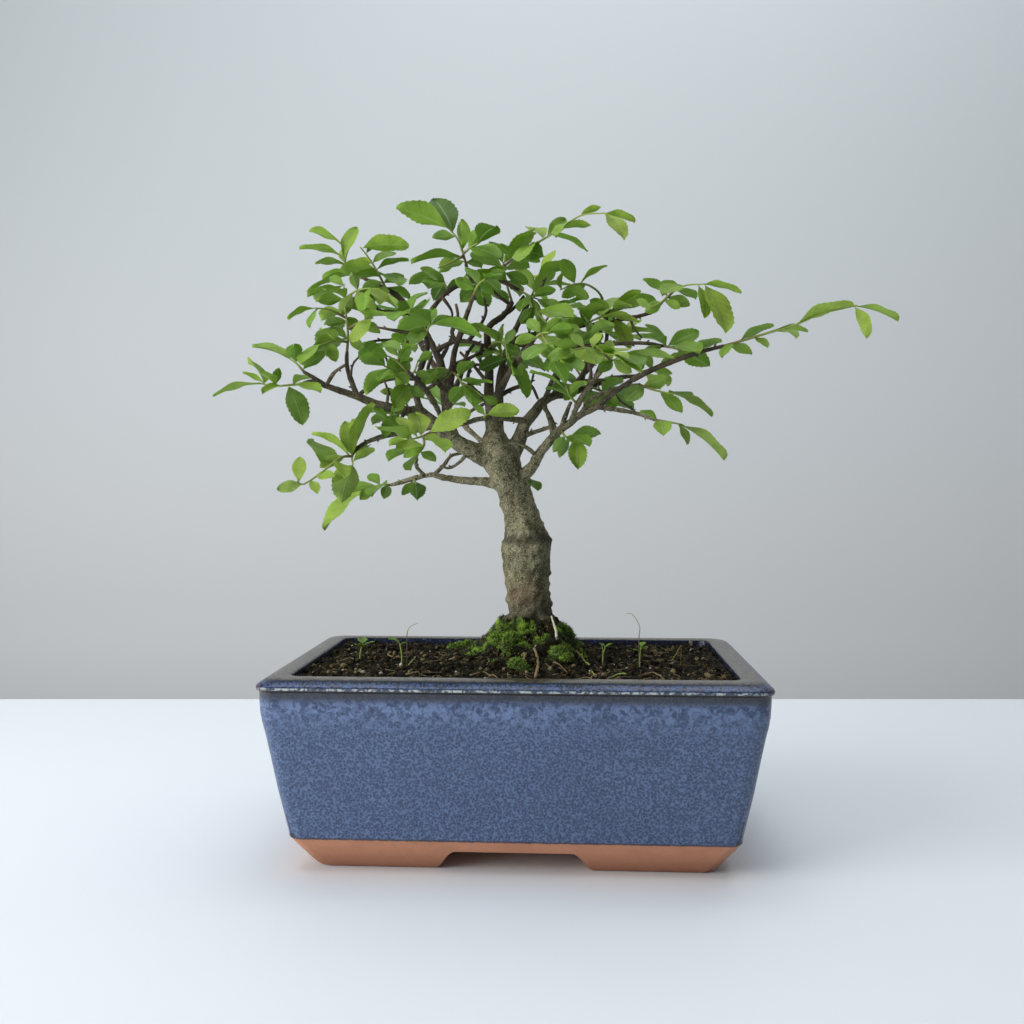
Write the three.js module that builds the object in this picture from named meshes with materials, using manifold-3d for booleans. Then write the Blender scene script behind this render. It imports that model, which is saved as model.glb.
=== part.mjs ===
// Chinese elm bonsai in a glazed pot. Millimetres, +Z up, the pot's long side along X.
// Everything is laid out round the middle of the pot, on the surface that it stands on,
// and the finished tree is then moved so that the middle of its box is over the origin.
import * as THREE from "three";
import { mergeVertices } from "three/addons/utils/BufferGeometryUtils.js";
import Module from "manifold-3d";

const wasm = await Module();
wasm.setup();

// The pot. Its section is given by insets from the rim's outer edge, each with its height: up the
// inside, over the rim, down the glazed wall, and round the clay foot to the floor's underside.
const POT_LENGTH = 202;
const POT_DEPTH = 131.6;
const POT_HEIGHT = 79.3;
const FLOOR_TOP = 14;
const FLOOR_UNDERSIDE = 9;
const INSIDE = [[21.5, FLOOR_TOP], [17.2, 18], [13.5, 45], [12, 72], [11.5, 78.7]];
const RIM = [[10.9, POT_HEIGHT], [6, POT_HEIGHT], [3.2, 78.8], [0.7, 77.2], [0, 75.8], [1, 74.3]];
const WALL = [[1.4, 66], [3, 57], [6.9, 34], [10.8, 14]];
const FOOT = [
  [13, 10.7], [16, 6.5], [18.6, 2.7], [20.7, 0.4], [21.5, 0], [31.5, 0], [33, FLOOR_UNDERSIDE],
];

// The outline's corners: their radius, how it shrinks inward, and how finely they are divided.
const CORNER_RADIUS = 7;
const CORNER_SHRINK = 0.1;
const LEAST_CORNER = 5;
const CORNER_STEPS = 3;

// The cut-outs between the four feet, the drain holes and the screens that lie over them.
const FOOT_GAP = { height: 9, top: 23.3, bottom: 33.8, sideTop: 13, sideBottom: 20, flare: 4, lip: 0.6 };
const CUT_MARGIN = 2;
const DRAIN_RADIUS = 8;
const DRAIN_SIDES = 20;
const DRAIN_PLACE = 38;
const SCREEN = { side: 25, thickness: 1, hole: 8, pitch: 5.5 };

// The soil: how far its edge lies below the rim, and the mound that the trunk stands on.
const SOIL_BELOW_RIM = 2.3;
const SOIL_BACK_FALL = 0.4;
const SOIL_LUMPS = 1.1;
const MOUND = { x: 4, y: 3, height: 21.3, reach: 22, frontReach: 26 };
const SOIL_SIDE_POINTS = 2;
const SEAT_GAP = 0.3;

// Leaves: how thick a blade is, how wide it is for its length, its outline as shares of its length
// and of half its width, and how far it keeps from others.
const BLADE_THICKNESS = 0.66;
const LEAF_ASPECT = 0.52;
const TOOTHED_LENGTH = 15;
const YOUNG_LENGTH = 11;
const MIDRIB = [[0, 0], [0.5, 0], [1, 0]];
const TOOTHED_EDGE = [[0.32, 0.9], [0.6, 1], [0.66, 0.78]];
const PLAIN_EDGE = [[0.34, 0.95], [0.68, 0.86]];
const BLADE_ARCH = 0.28;
const BLADE_FOLD = 0.1;
const STEM_RADIUS = 0.55;
const LEAF_CLEARANCE = 3.2;
const WOOD_CLEARANCE = 1.2;
const WOOD_SAMPLES = 80;
const STEM_SAMPLES = 40;
const SEEN_STRETCH = 1.03;
const FORWARD_SHARE = 0.62;
const DEPTH_TRIES = [0, -4, 4, -8, 8, -12, 12, -16, 16];

// The wood: how finely its bars are divided, and the radius from which a branch counts as thick.
const TRUNK_SIDES = 10;
const TRUNK_STEPS = 17;
const BRANCH_SIDES = 6;
const TWIG_SIDES = 4;
const THICK_BRANCH = 2.3;
const STEP_SHARE = 0.75;
const ROOT_COURSE = [[0, 4, 0.5], [0.35, 0.5, 0.42], [0.68, 0.8, 0.33], [1, 5, 0.24], [1.15, 11, 0.15]];
const ROOT_SIDES = 4;
const ROOT_STEPS = 3;

// Moss and seedlings: how flat a cushion is, how far it stands up, and how deep a seedling stands.
const CUSHION_SIDES = 6;
const CUSHION_RINGS = 4;
const CUSHION_FLATNESS = 0.75;
const CUSHION_LIFT = 0.15;
const SEEDLING_DEPTH = 4;
const SEEDLING_RADII = [0.5, 0.45, 0.35];
const SEEDLING_LEAF_RISE = 0.35;

// Where the tree is looked at from. Routes and leaves are given as they are seen from there:
// a column and a row of a picture 1024 squares wide, and a depth in mm behind the pot's middle.
const EYE = new THREE.Vector3(23, -474, 155);
const FOCAL = 1074;
const PICTURE_MIDDLE = 512;
const YAW = THREE.MathUtils.degToRad(-3.18);
const PITCH = THREE.MathUtils.degToRad(1.43);
const FORWARD = new THREE.Vector3(
  Math.sin(YAW) * Math.cos(PITCH),
  Math.cos(YAW) * Math.cos(PITCH),
  -Math.sin(PITCH),
);
const RIGHT = new THREE.Vector3(Math.cos(YAW), -Math.sin(YAW), 0);
const UP = new THREE.Vector3().crossVectors(RIGHT, FORWARD);
const Z_AXIS = new THREE.Vector3(0, 0, 1);

// Woody parts. Each point is column, row, depth and diameter in mm.
const WOOD = {
  trunk: [
    [533, 672, 4, 27], [531, 640, 4, 21.5], [530, 612, 4, 18.6], [528, 591, 4, 18.8],
    [526.5, 562, 4, 21], [526, 549, 4, 22.2], [526.5, 540, 4, 21.6], [525, 532, 4, 18.4],
    [523, 521, 5, 15.8], [519, 507, 5, 14.8], [514, 490, 6, 15], [508, 475, 6, 14.6],
    [501, 460, 6, 16.5], [496, 446, 6, 14], [495, 434, 6, 10],
  ],
  leader: [
    [496, 446, 6, 11], [494, 430, 6, 8], [491, 410, 7, 5.4], [489, 392, 8, 4.6], [489, 375, 9, 4.2],
    [489, 357, 10, 3.8], [488, 329, 12, 3.2], [504, 315, 14, 2.8], [512, 302, 16, 2.2],
  ],
  second_leader: [
    [496, 440, 7, 7], [499, 410, 11, 4.4], [499, 390, 15, 3.8], [501, 372, 20, 3.4],
    [507, 350, 25, 2.9], [518, 324, 31, 2.3], [530, 300, 36, 1.8],
  ],
  big_left: [
    [501, 462, 6, 12], [484, 456, 4, 9.6], [465, 447, 1, 7.6], [448, 436, -1, 6.6],
    [434, 423, -3, 5.6], [420, 412, -4, 5], [407, 411, -5, 4.6], [379, 405, -8, 4],
    [356, 396, -10, 3.4], [329, 387, -13, 2.8], [315, 382, -14, 2.3], [303, 384, -15, 1.8],
  ],
  left_stem: [
    [455, 441, 0, 6], [448, 421, 2, 5], [446, 403, 4, 4.4], [443, 375, 9, 4], [439, 359, 12, 3.6],
    [430, 341, 16, 3.2], [420, 322, 19, 2.8], [404, 302, 23, 2.4], [388, 290, 26, 2], [365, 279, 29, 1.5],
  ],
  inner_stem: [
    [447, 412, 3, 4], [450, 390, -4, 3.4], [452, 370, -9, 3], [455, 350, -13, 2.6],
    [462, 330, -18, 2.2], [467, 314, -22, 1.8], [474, 295, -27, 1.4],
  ],
  inner_arch: [
    [435, 352, 14, 2.4], [444, 346, 12, 2.1], [458, 341, 10, 1.8], [476, 343, 7, 1.6],
    [494, 350, 9, 1.4],
  ],
  upper_arch: [
    [424, 331, 18, 2.4], [430, 313, 18, 2.1], [446, 293, 16, 1.9],
    [470, 281, 12, 1.7], [496, 280, 9, 1.5], [519, 290, 10, 1.3],
  ],
  left_rise: [
    [421, 412, -4, 3.6], [416, 393, -10, 2.9], [420, 370, -14, 2.5],
    [427, 350, -17, 2], [426, 337, -19, 1.5],
  ],
  left_fork: [[326, 386, -13, 2], [316, 379, -12, 1.6], [304, 372, -10, 1.2]],
  left_upright: [[357, 396, -10, 2.4], [351, 380, -6, 2], [347, 366, -3, 1.7], [347, 352, 0, 1.3]],
  left_cross: [[326, 386, -13, 1.8], [334, 373, -17, 1.4], [345, 365, -21, 1.1]],
  right_main: [
    [503, 464, 7, 11], [513, 452, 7, 8.2], [520, 438, 8, 6.6], [524, 425, 9, 5.6], [534, 413, 11, 4.9],
    [543, 402, 13, 4.3], [554, 396, 15, 3.8], [567, 394, 17, 3.4], [580, 390, 19, 3.1], [593, 386, 21, 2.8],
    [607, 380, 23, 2.4], [622, 377, 26, 2], [636, 376, 29, 1.4],
  ],
  lower_right: [
    [512, 486, 6, 8], [523, 476, 4, 6], [533, 466, 2, 5.2], [537, 458, 1, 4.8], [544, 448, -1, 4.4],
    [552, 438, -3, 4], [561, 429, -4, 3.7], [570, 423, -5, 3.5], [580, 415, -6, 3.3], [598, 406, -8, 3],
    [612, 394, -10, 2.7], [625, 385, -12, 2.5], [639, 376, -14, 2.3],
    [671, 362, -17, 2], [704, 351, -20, 1.6],
    [724, 346, -22, 1.3],
  ],
  right_shoot: [
    [596, 407, -8, 2.2], [616, 409.5, -13, 1.8], [639, 414, -18, 1.5], [655, 420, -22, 1.2],
  ],
  right_twig: [
    [554, 396, 15, 2.4], [560, 372, 8, 2.2], [572, 350, 2, 1.9], [600, 345, -2, 1.7],
    [640, 343, -6, 1.5], [664, 346, -9, 1.2],
  ],
  right_upper: [
    [580, 390, 19, 2.3], [586, 362, 21, 2.1], [596, 336, 19, 1.9], [613, 322, 15, 1.8], [640, 316, 9, 1.6],
    [655, 311, 5, 1.4],
  ],
  right_top: [
    [593, 386, 21, 2], [602, 360, 28, 1.8], [607, 335, 28, 1.6], [606, 310, 24, 1.4],
  ],
  right_stub: [[561, 429, -4, 2], [566, 414, -7, 1.7], [571, 402, -9, 1.3]],
  cross_twig: [[522, 436, 8, 2.2], [538, 431, 6, 1.8], [553, 426, 1, 1.6]],
  notch_twig: [[553, 437, -3, 2], [550, 421, 1, 1.8], [545, 406, 9, 1.6]],
  leafy_twig: [[622, 386, -12, 1.8], [640, 385, -15, 1.4]],
  lower_left: [
    [505, 487, 7, 7], [487, 482, 10, 4.6], [469, 481, 12, 3.7], [447, 478, 14, 3.2], [434, 475, 15, 2.9],
    [425, 476, 16, 2.6], [415, 478, 16, 2.3], [402, 482, 17, 1.9], [391, 485, 18, 1.5],
  ],
  lower_rise: [[434, 475, 15, 2], [444, 465, 18, 1.6], [451, 456, 21, 1.4], [462, 453, 24, 1.1]],
  lower_spur: [[425, 476, 16, 1.8], [416, 466, 13, 1.4], [417, 457, 11, 1.2], [412, 447, 9, 1]],
  left_low: [
    [436, 426, -2, 3], [412, 431, -7, 2.4], [395, 434, -11, 2.1], [381, 437, -13, 1.9],
    [367, 442, -16, 1.6], [356, 449, -18, 1.4],
  ],
  front_twig: [
    [523, 427, 9, 3.2], [528, 422, 2, 2.6], [519, 420, -5, 2.3], [497, 418, -14, 2.1], [479, 419, -22, 1.9],
    [466, 423, -27, 1.8], [444, 428, -34, 1.6], [430, 433, -38, 1.4],
  ],
  back_left: [
    [443, 378, 9, 3.2], [432, 362, 28, 2.7], [420, 342, 45, 2.2], [412, 325, 57, 1.6],
  ],
  back_middle: [
    [491, 412, 7, 4], [500, 392, 24, 3.3], [513, 366, 43, 2.8], [530, 340, 58, 2.2], [545, 322, 68, 1.6],
  ],
  back_right: [
    [567, 394, 17, 3], [580, 378, 34, 2.5], [597, 360, 49, 2], [612, 346, 61, 1.5],
  ],
  back_low: [
    [500, 466, 9, 4.2], [492, 452, 24, 3.2], [478, 438, 40, 2.6], [462, 424, 54, 2], [452, 415, 64, 1.5],
  ],
  front_middle: [
    [491, 408, 6, 3.4], [500, 388, -9, 2.8], [514, 366, -23, 2.3],
    [526, 350, -34, 1.8], [534, 340, -42, 1.4],
  ],
  front_right: [
    [571, 422, -5, 2.8], [578, 404, -20, 2.3], [590, 385, -32, 1.9], [604, 368, -41, 1.4],
  ],
  front_left: [
    [446, 434, -1, 3], [438, 410, -16, 2.5], [424, 388, -28, 2.1], [408, 372, -36, 1.5],
  ],
  top_spur: [[472, 281, 12, 1.6], [468, 272, 8, 1.4], [466, 264, 4, 1.1]],
};

// Roots that leave the foot of the trunk and dive into the mound: a heading in degrees,
// a length along the ground and a diameter at the trunk, both in mm. ROOT_COURSE gives shares of
// that length, with the depth under the ground and the share of the diameter there.
const ROOTS = [
  [205, 21, 9], [262, 17, 8], [325, 20, 9], [30, 19, 8], [120, 20, 8.5],
];

// Leafy shoots. A stem's points are column, row and depth. A leaf is the column and row of its
// base, the column and row of its tip, and its width as it is seen, in squares of the picture.
// A shoot with fill carries that many more leaves, set alternately by rule, of the given length.
const SHOOTS = {
  left_tip: {
    stems: [[[301, 384.5, -15.5], [290, 385, -16], [275, 386, -17], [258, 383, -18]]],
    leaves: [
      [262, 384, 213, 396, 6], [266, 384, 242, 373, 5], [274, 386, 279, 368, 9], [288, 386, 303, 425, 21],
      [294, 385, 321, 393, 9], [284, 386, 262, 393, 6],
    ],
  },
  left_fork: {
    stems: [[[303, 371.5, -10], [297, 364, -9], [290, 359, -8]]],
    leaves: [[292, 361, 252, 347, 7], [296, 363, 294, 346, 16], [302, 371, 325, 353, 12]],
  },
  left_cluster: {
    stems: [
      [[347, 350, 0], [348, 335, 4], [346, 315, 8], [344, 298, 12], [344, 284, 14]],
      [[346, 318, 8], [330, 310, 4], [315, 308, 0]],
    ],
    leaves: [
      [345, 343, 316, 341, 9], [346, 338, 326, 356, 9], [347, 340, 330, 328, 8], [346, 320, 324, 325, 10],
      [315, 308, 288, 320, 6], [318, 309, 310, 328, 6], [341, 300, 317, 301, 12], [344, 290, 307, 296, 7],
      [346, 308, 373, 297, 22], [347, 330, 369, 325, 12], [344, 286, 330, 277, 9],
    ],
  },
  top_left: {
    stems: [[[363, 278, 29], [352, 274, 30], [345, 262, 29], [341, 244, 28]]],
    leaves: [
      [341, 244, 309, 231, 8], [343, 256, 299, 248, 7], [346, 265, 315, 264, 7], [343, 256, 357, 227, 13],
      [352, 274, 322, 281, 9],
    ],
  },
  top_left_inner: {
    stems: [[[387, 289, 26], [378, 273, 24], [368, 257, 22], [360, 247, 20]]],
    leaves: [
      [376, 270, 340, 269, 14], [362, 248, 409, 246, 17], [377, 270, 409, 261, 6], [383, 281, 362, 290, 14],
      [383, 283, 404, 276, 10],
    ],
  },
  top_middle: {
    stems: [
      [[465, 262, 4], [462, 250, 0], [457, 238, -3], [449, 229, -5]],
      [[463, 254, 1], [471, 247, -4], [478, 243, -6]],
    ],
    leaves: [
      [448, 229, 396, 208, 21], [454, 233, 434, 200, 24],
      [456, 237, 432, 238, 10], [464, 250, 461, 219, 13],
      [468, 250, 479, 231, 14], [478, 244, 495, 228, 20], [465, 258, 411, 263, 7], [470, 249, 501, 257, 13],
    ],
  },
  arch_left: {
    stems: [[[448, 290, 16], [442, 280, 18], [438, 272, 20]]],
    leaves: [[444, 284, 433, 301, 17], [440, 276, 409, 284, 11], [438, 273, 452, 262, 9]],
  },
  arch_under: {
    stems: [[[482, 282, 11], [480, 290, 16]]],
    leaves: [[481, 286, 460, 303, 18], [480, 290, 489, 307, 16], [481, 284, 508, 268, 10]],
  },
  top_right: {
    stems: [
      [[511, 300, 16], [507, 285, 12], [504, 270, 8], [503, 262, 5]],
      [[504, 266, 7], [526, 250, 0], [552, 234, -8], [580, 216, -16], [604, 213, -22]],
    ],
    leaves: [
      [504, 264, 536, 233, 14], [503, 263, 489, 243, 11], [504, 268, 470, 255, 13],
      [505, 272, 528, 284, 12], [507, 284, 477, 272, 11],
      [516, 257, 533, 229, 10], [524, 251, 545, 257, 19], [548, 237, 566, 219, 14], [552, 234, 588, 251, 6],
      [560, 229, 591, 225, 8], [580, 216, 601, 207, 7], [603, 213, 635, 223, 8], [603, 214, 624, 241, 14],
    ],
  },
  arch_right: {
    stems: [[[521, 291, 10], [530, 296, 8], [540, 300, 6]]],
    leaves: [
      [524, 293, 541, 328, 9], [532, 297, 556, 290, 10], [540, 300, 562, 312, 13], [530, 296, 520, 312, 10],
    ],
  },
  right_top: {
    stems: [[[606, 308, 24], [600, 294, 21], [588, 285, 17], [575, 284, 14], [560, 290, 12]]],
    leaves: [
      [575, 284, 562, 259, 15], [580, 284, 607, 265, 6], [562, 289, 562, 273, 6], [586, 285, 562, 298, 12],
      [566, 288, 588, 299, 11],
    ],
  },
  right_hanging: {
    stems: [[[657, 310, 4], [668, 296, -2], [684, 286, -10], [704, 284, -16]]],
    leaves: [
      [668, 296, 643, 279, 9], [660, 305, 634, 297, 10], [698, 284, 705, 318, 11], [704, 284, 725, 334, 20],
      [703, 284, 741, 294, 7], [664, 300, 680, 308, 9], [680, 288, 660, 283, 8],
    ],
  },
  right_upper: {
    stems: [[[614, 320.5, 15], [612, 312, 12], [607, 306, 10]]],
    leaves: [
      [613, 316, 641, 291, 10], [612, 313, 590, 300, 12], [614, 318, 629, 350, 15],
      [608, 307, 583, 312, 12],
    ],
  },
  right_serrated: {
    stems: [[[666, 346, -9], [678, 349, -12], [690, 354, -14]]],
    leaves: [
      [667, 346, 699, 332, 16], [676, 349, 710, 367, 19], [667, 346, 645, 325, 7], [690, 354, 722, 342, 9],
      [684, 351, 668, 366, 9], [666, 346, 644, 336, 8],
    ],
  },
  long_shoot: {
    stems: [[
      [727, 345.5, -22], [741, 341, -23], [768, 333, -25],
      [795, 325, -27], [821, 314, -29], [854, 306, -31],
    ]],
    leaves: [
      [728, 346, 752, 355, 10], [739, 342, 774, 325, 8], [765, 334, 808, 331, 6], [796, 324, 854, 305, 11],
      [854, 306, 898, 322, 6], [854, 306, 867, 338, 12], [780, 330, 797, 338, 5],
    ],
  },
  right_leafy: {
    stems: [[[642, 385.5, -15], [658, 391, -18], [674, 394, -20]]],
    leaves: [
      [643, 385, 668, 378, 14], [645, 386, 624, 401, 16], [660, 391, 682, 413, 13], [674, 394, 712, 417, 8],
      [668, 393, 690, 401, 6],
    ],
  },
  right_shoot: {
    stems: [[[657, 420, -22], [669, 422, -25], [680, 424, -27]]],
    leaves: [
      [660, 420, 664, 436, 18], [657, 419, 640, 411, 7], [678, 424, 724, 461, 9],
      [678, 424, 687, 445, 8],
    ],
  },
  right_end: {
    stems: [[[638, 375.5, 30], [650, 371, 33], [660, 366, 36]]],
    leaves: [
      [650, 371, 672, 374, 8], [658, 367, 676, 358, 8], [642, 374, 634, 358, 12],
      [652, 370, 643, 353, 10],
    ],
  },
  low_right: {
    stems: [[[562, 431, -5], [566, 437, -10], [577, 438, -14]]],
    leaves: [[569, 437, 601, 434, 14], [565, 436, 553, 452, 12], [577, 438, 578, 470, 19]],
  },
  under_right: {
    stems: [[[598, 388, 21], [602, 394, 16]]],
    leaves: [[601, 392, 589, 411, 19], [601, 391, 618, 406, 15], [602, 394, 611, 411, 7]],
  },
  behind_trunk: {
    stems: [[[527, 475, 5], [530, 479, 8], [531, 481, 10]]],
    leaves: [[530, 479, 538, 491, 11], [531, 481, 526, 496, 8]],
  },
  lower_left_tip: {
    stems: [[[389, 485.5, 18], [380, 485, 16], [366, 490, 14]]],
    leaves: [
      [380, 485, 369, 474, 11], [388, 486, 384, 499, 11],
      [376, 486, 350, 493, 12], [366, 490, 324, 530, 13],
    ],
  },
  lower_left_drop: {
    stems: [[[414, 480, 15], [416, 484, 12]]],
    leaves: [[416, 482, 417, 501, 19], [415, 482, 402, 495, 9]],
  },
  left_low: {
    stems: [
      [[354, 450, -19], [352, 457, -22], [353, 465, -25]],
      [[352, 456, -22], [340, 458, -25], [322, 472, -27], [304, 484, -29], [297, 481, -30]],
    ],
    leaves: [
      [354, 452, 375, 404, 12], [352, 456, 345, 421, 18], [350, 457, 312, 433, 7], [353, 462, 375, 450, 9],
      [353, 465, 341, 502, 26], [345, 457, 320, 468, 12],
      [352, 465, 333, 483, 10], [326, 469, 313, 443, 22],
      [299, 482, 300, 457, 14], [303, 484, 277, 490, 12], [316, 477, 335, 477, 9], [355, 451, 356, 420, 12],
    ],
  },
  front_left: {
    stems: [[[428, 433.5, -38], [420, 437, -42], [408, 440, -46]]],
    leaves: [
      [428, 433, 471, 411, 21], [421, 436, 415, 414, 22], [412, 439, 397, 427, 13], [408, 440, 389, 446, 8],
      [424, 435, 441, 441, 8],
    ],
  },
  front_leaf: {
    stems: [[[484, 417, -21], [487, 414, -25]]],
    leaves: [[486, 415, 519, 412, 15], [486, 416, 474, 405, 7]],
  },
  left_rise: {
    stems: [
      [[426, 335, -19], [428, 328, -21], [434, 323, -23]],
    ],
    leaves: [[434, 323, 395, 335, 20], [433, 324, 481, 338, 13], [430, 327, 434, 309, 12]],
  },
  left_inner: {
    stems: [[[414, 392, -11], [404, 380, -18], [392, 370, -24], [384, 366, -27]]],
    leaves: [
      [386, 367, 363, 346, 24], [402, 378, 389, 359, 14],
      [388, 368, 366, 395, 15], [407, 384, 393, 409, 20],
      [410, 388, 398, 396, 10],
    ],
  },
  left_over: {
    stems: [[[409, 409, -5], [405, 400, -8], [398, 392, -9]]],
    leaves: [[402, 396, 380, 392, 8], [405, 400, 424, 392, 12], [398, 392, 402, 374, 11]],
  },
  left_back: { stems: [[[411, 323, 58], [404, 314, 64], [396, 309, 70]]], leaves: [], fill: 7, length: 17 },
  left_back_side: {
    stems: [[[421, 340, 45], [408, 342, 51], [396, 346, 58]]],
    leaves: [], fill: 5, length: 16,
  },
  stem_inner: {
    stems: [[[474, 293, -27], [478, 285, -32], [485, 279, -38]]],
    leaves: [[476, 290, 455, 279, 12], [485, 279, 505, 271, 11], [480, 283, 494, 293, 11]],
    fill: 1, length: 14,
  },
  middle_dark: {
    stems: [
      [[488, 349, 8], [497, 342, -2], [505, 345, -10], [507, 358, -14]],
      [[490, 347, 6], [497, 351, 10], [502, 354, 14]],
    ],
    leaves: [
      [507, 358, 479, 369, 14], [507, 358, 528, 368, 12], [499, 342, 469, 324, 8], [505, 346, 515, 330, 9],
      [497, 351, 478, 360, 9], [502, 354, 520, 348, 11], [506, 352, 545, 371, 13],
    ],
  },
  middle_right: {
    stems: [[[535, 338, -43], [540, 334, -48], [549, 332, -53]]],
    leaves: [
      [538, 336, 567, 356, 15], [548, 332, 574, 328, 12], [541, 334, 528, 320, 12],
      [537, 337, 515, 343, 11],
    ],
  },
  inner_low: {
    stems: [[[452, 372, -10], [459, 378, -16], [463, 386, -19]]],
    leaves: [
      [460, 380, 481, 386, 7], [463, 386, 450, 402, 14], [458, 377, 472, 362, 13], [453, 373, 424, 381, 15],
      [461, 384, 474, 408, 12],
    ],
  },
  back_top: { stems: [[[531, 298, 37], [536, 286, 42], [542, 276, 46]]], leaves: [], fill: 8, length: 17 },
  back_middle: {
    stems: [[[546, 321, 69], [552, 313, 74], [560, 308, 80]]],
    leaves: [], fill: 8, length: 18,
  },
  back_side: { stems: [[[514, 364, 45], [500, 356, 54], [488, 350, 62]]], leaves: [], fill: 6, length: 17 },
  back_right: {
    stems: [[[613, 344, 62], [620, 338, 68], [626, 333, 74]]],
    leaves: [], fill: 8, length: 17,
  },
  back_low: { stems: [[[451, 414, 65], [446, 407, 71], [440, 402, 78]]], leaves: [], fill: 6, length: 16 },
  back_fork: { stems: [[[581, 376, 35], [572, 362, 44], [566, 348, 50]]], leaves: [], fill: 6, length: 16 },
  front_right: {
    stems: [[[605, 367, -42], [612, 361, -48], [621, 357, -54]]],
    leaves: [
      [619, 358, 674, 359, 8], [613, 360, 632, 373, 13], [609, 363, 580, 356, 14],
      [612, 361, 598, 346, 12],
    ],
  },
  front_right_low: {
    stems: [[[577, 406, -20], [570, 396, -27], [566, 386, -32]]],
    leaves: [], fill: 4, length: 15,
  },
  right_twig: {
    stems: [[[574, 348.5, 1], [582, 338, -5], [590, 332, -10]]],
    leaves: [
      [578, 343, 603, 336, 13], [590, 332, 614, 326, 11], [584, 336, 566, 326, 13],
      [576, 346, 552, 346, 12],
    ],
  },
  front_stem: {
    stems: [[[406, 371, -37], [398, 362, -42], [388, 356, -47]]],
    leaves: [[389, 357, 372, 352, 13], [398, 362, 410, 347, 11]],
    fill: 2, length: 14,
  },
};

// Moss cushions on the mound and on the soil: x, y and radius in mm. Those of a group touch.
const MOSS = {
  moss_collar: [[-8.5, -14, 4.2], [-5.5, -10.5, 4.2], [-2.5, -16, 4.4], [-4, -20.5, 3.6]],
  moss_right: [[17.7, -20.2, 4.4], [20.7, -22.8, 3]],
  moss_front: [[0.5, -32.6, 3.6], [3.2, -35, 2.6]],
  moss_left: [[-30, 38, 3.4], [-26.5, 41, 3.2], [-33, 33.5, 2.8]],
  moss_shoulder: [[18.8, -0.6, 4.4], [21.5, 2.5, 3]],
  moss_back: [[-4, 19, 5], [3, 21.5, 4.4], [11, 18, 4.6], [17.5, 13, 3.8]],
};

// Seedlings: each stands in its own hole in the soil. A stem is x, y and its height above the
// soil; leaves are heading in degrees, height on the stem from 0 to 1, length and width in mm.
const SEEDLINGS = {
  seedling_left: {
    foot: [-70, -6.5], height: 8, lean: [1, 0],
    leaves: [[100, 1, 5.5, 4.6], [250, 0.7, 5, 4], [10, 0.75, 6, 3.2]],
  },
  seedling_middle: {
    foot: [-51, -10], height: 8.5, lean: [-1, 1],
    leaves: [[170, 1, 5.5, 4.4], [20, 0.85, 3, 2]],
  },
  seedling_right: {
    foot: [52, -16.5], height: 9, lean: [0.5, 0],
    leaves: [[70, 1, 4, 3], [200, 0.6, 3.6, 2], [330, 0.8, 3.6, 2.2]],
  },
  seedling_thin: {
    foot: [36.5, -12.5], height: 7.5, lean: [1, 0],
    leaves: [[140, 1, 3.4, 1.8], [30, 0.95, 4, 2]],
  },
};

const COLOURS = {
  glaze: 0x4f6690,
  mesh: 0x2c2f2c,
  soil: 0x2b2119,
  bark: 0x6f6350,
  moss: 0x5f8a24,
  seedling: 0x6fa53a,
  leaf: 0x5c9a2e,
};

// A number from 0 to 1 that depends on two whole numbers alone.
function draw(a, b) {
  const wave = Math.sin(a * 12.9898 + b * 78.233 + 4.13) * 43758.5453;
  return wave - Math.floor(wave);
}

// The point seen in a picture's column and row, at a depth behind the middle of the pot.
function seen([column, row, depth]) {
  const ray = FORWARD.clone()
    .addScaledVector(RIGHT, (column - PICTURE_MIDDLE) / FOCAL)
    .addScaledVector(UP, (PICTURE_MIDDLE - row) / FOCAL);
  return EYE.clone().addScaledVector(ray, (depth - EYE.y) / ray.y);
}

// A closed solid from a geometry, with the vertices that coincide made one.
function solidOf(geometry) {
  const bare = geometry.clone();
  bare.deleteAttribute("normal");
  bare.deleteAttribute("uv");
  const merged = mergeVertices(bare, 1e-4);
  const corners = [];
  const index = merged.index.array;
  for (let i = 0; i < index.length; i += 3) {
    const [a, b, c] = [index[i], index[i + 1], index[i + 2]];
    if (a !== b && b !== c && c !== a) corners.push(a, b, c);
  }
  return new wasm.Manifold(
    new wasm.Mesh({
      numProp: 3,
      vertProperties: new Float32Array(merged.attributes.position.array),
      triVerts: new Uint32Array(corners),
    }),
  );
}

function joined(solids) {
  return solids.reduce((whole, next) => whole.add(next));
}

// The largest body of a solid: what a cut leaves loose is dropped.
function largestBody(solid) {
  const bodies = solid.decompose();
  return bodies.reduce((best, next) => (next.volume() > best.volume() ? next : best));
}

function meshOf(name, solid, colour, roughness = 0.8, metalness = 0) {
  const made = solid.getMesh();
  const geometry = new THREE.BufferGeometry();
  const places = new Float32Array(made.numVert * 3);
  for (let i = 0; i < made.numVert; i += 1) {
    places.set(made.vertProperties.subarray(i * made.numProp, i * made.numProp + 3), i * 3);
  }
  geometry.setAttribute("position", new THREE.BufferAttribute(places, 3));
  geometry.setIndex(new THREE.BufferAttribute(new Uint32Array(made.triVerts), 1));
  geometry.computeVertexNormals();
  const mesh = new THREE.Mesh(
    geometry,
    new THREE.MeshStandardMaterial({ color: colour, roughness, metalness, flatShading: true }),
  );
  mesh.name = name;
  return mesh;
}

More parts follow.
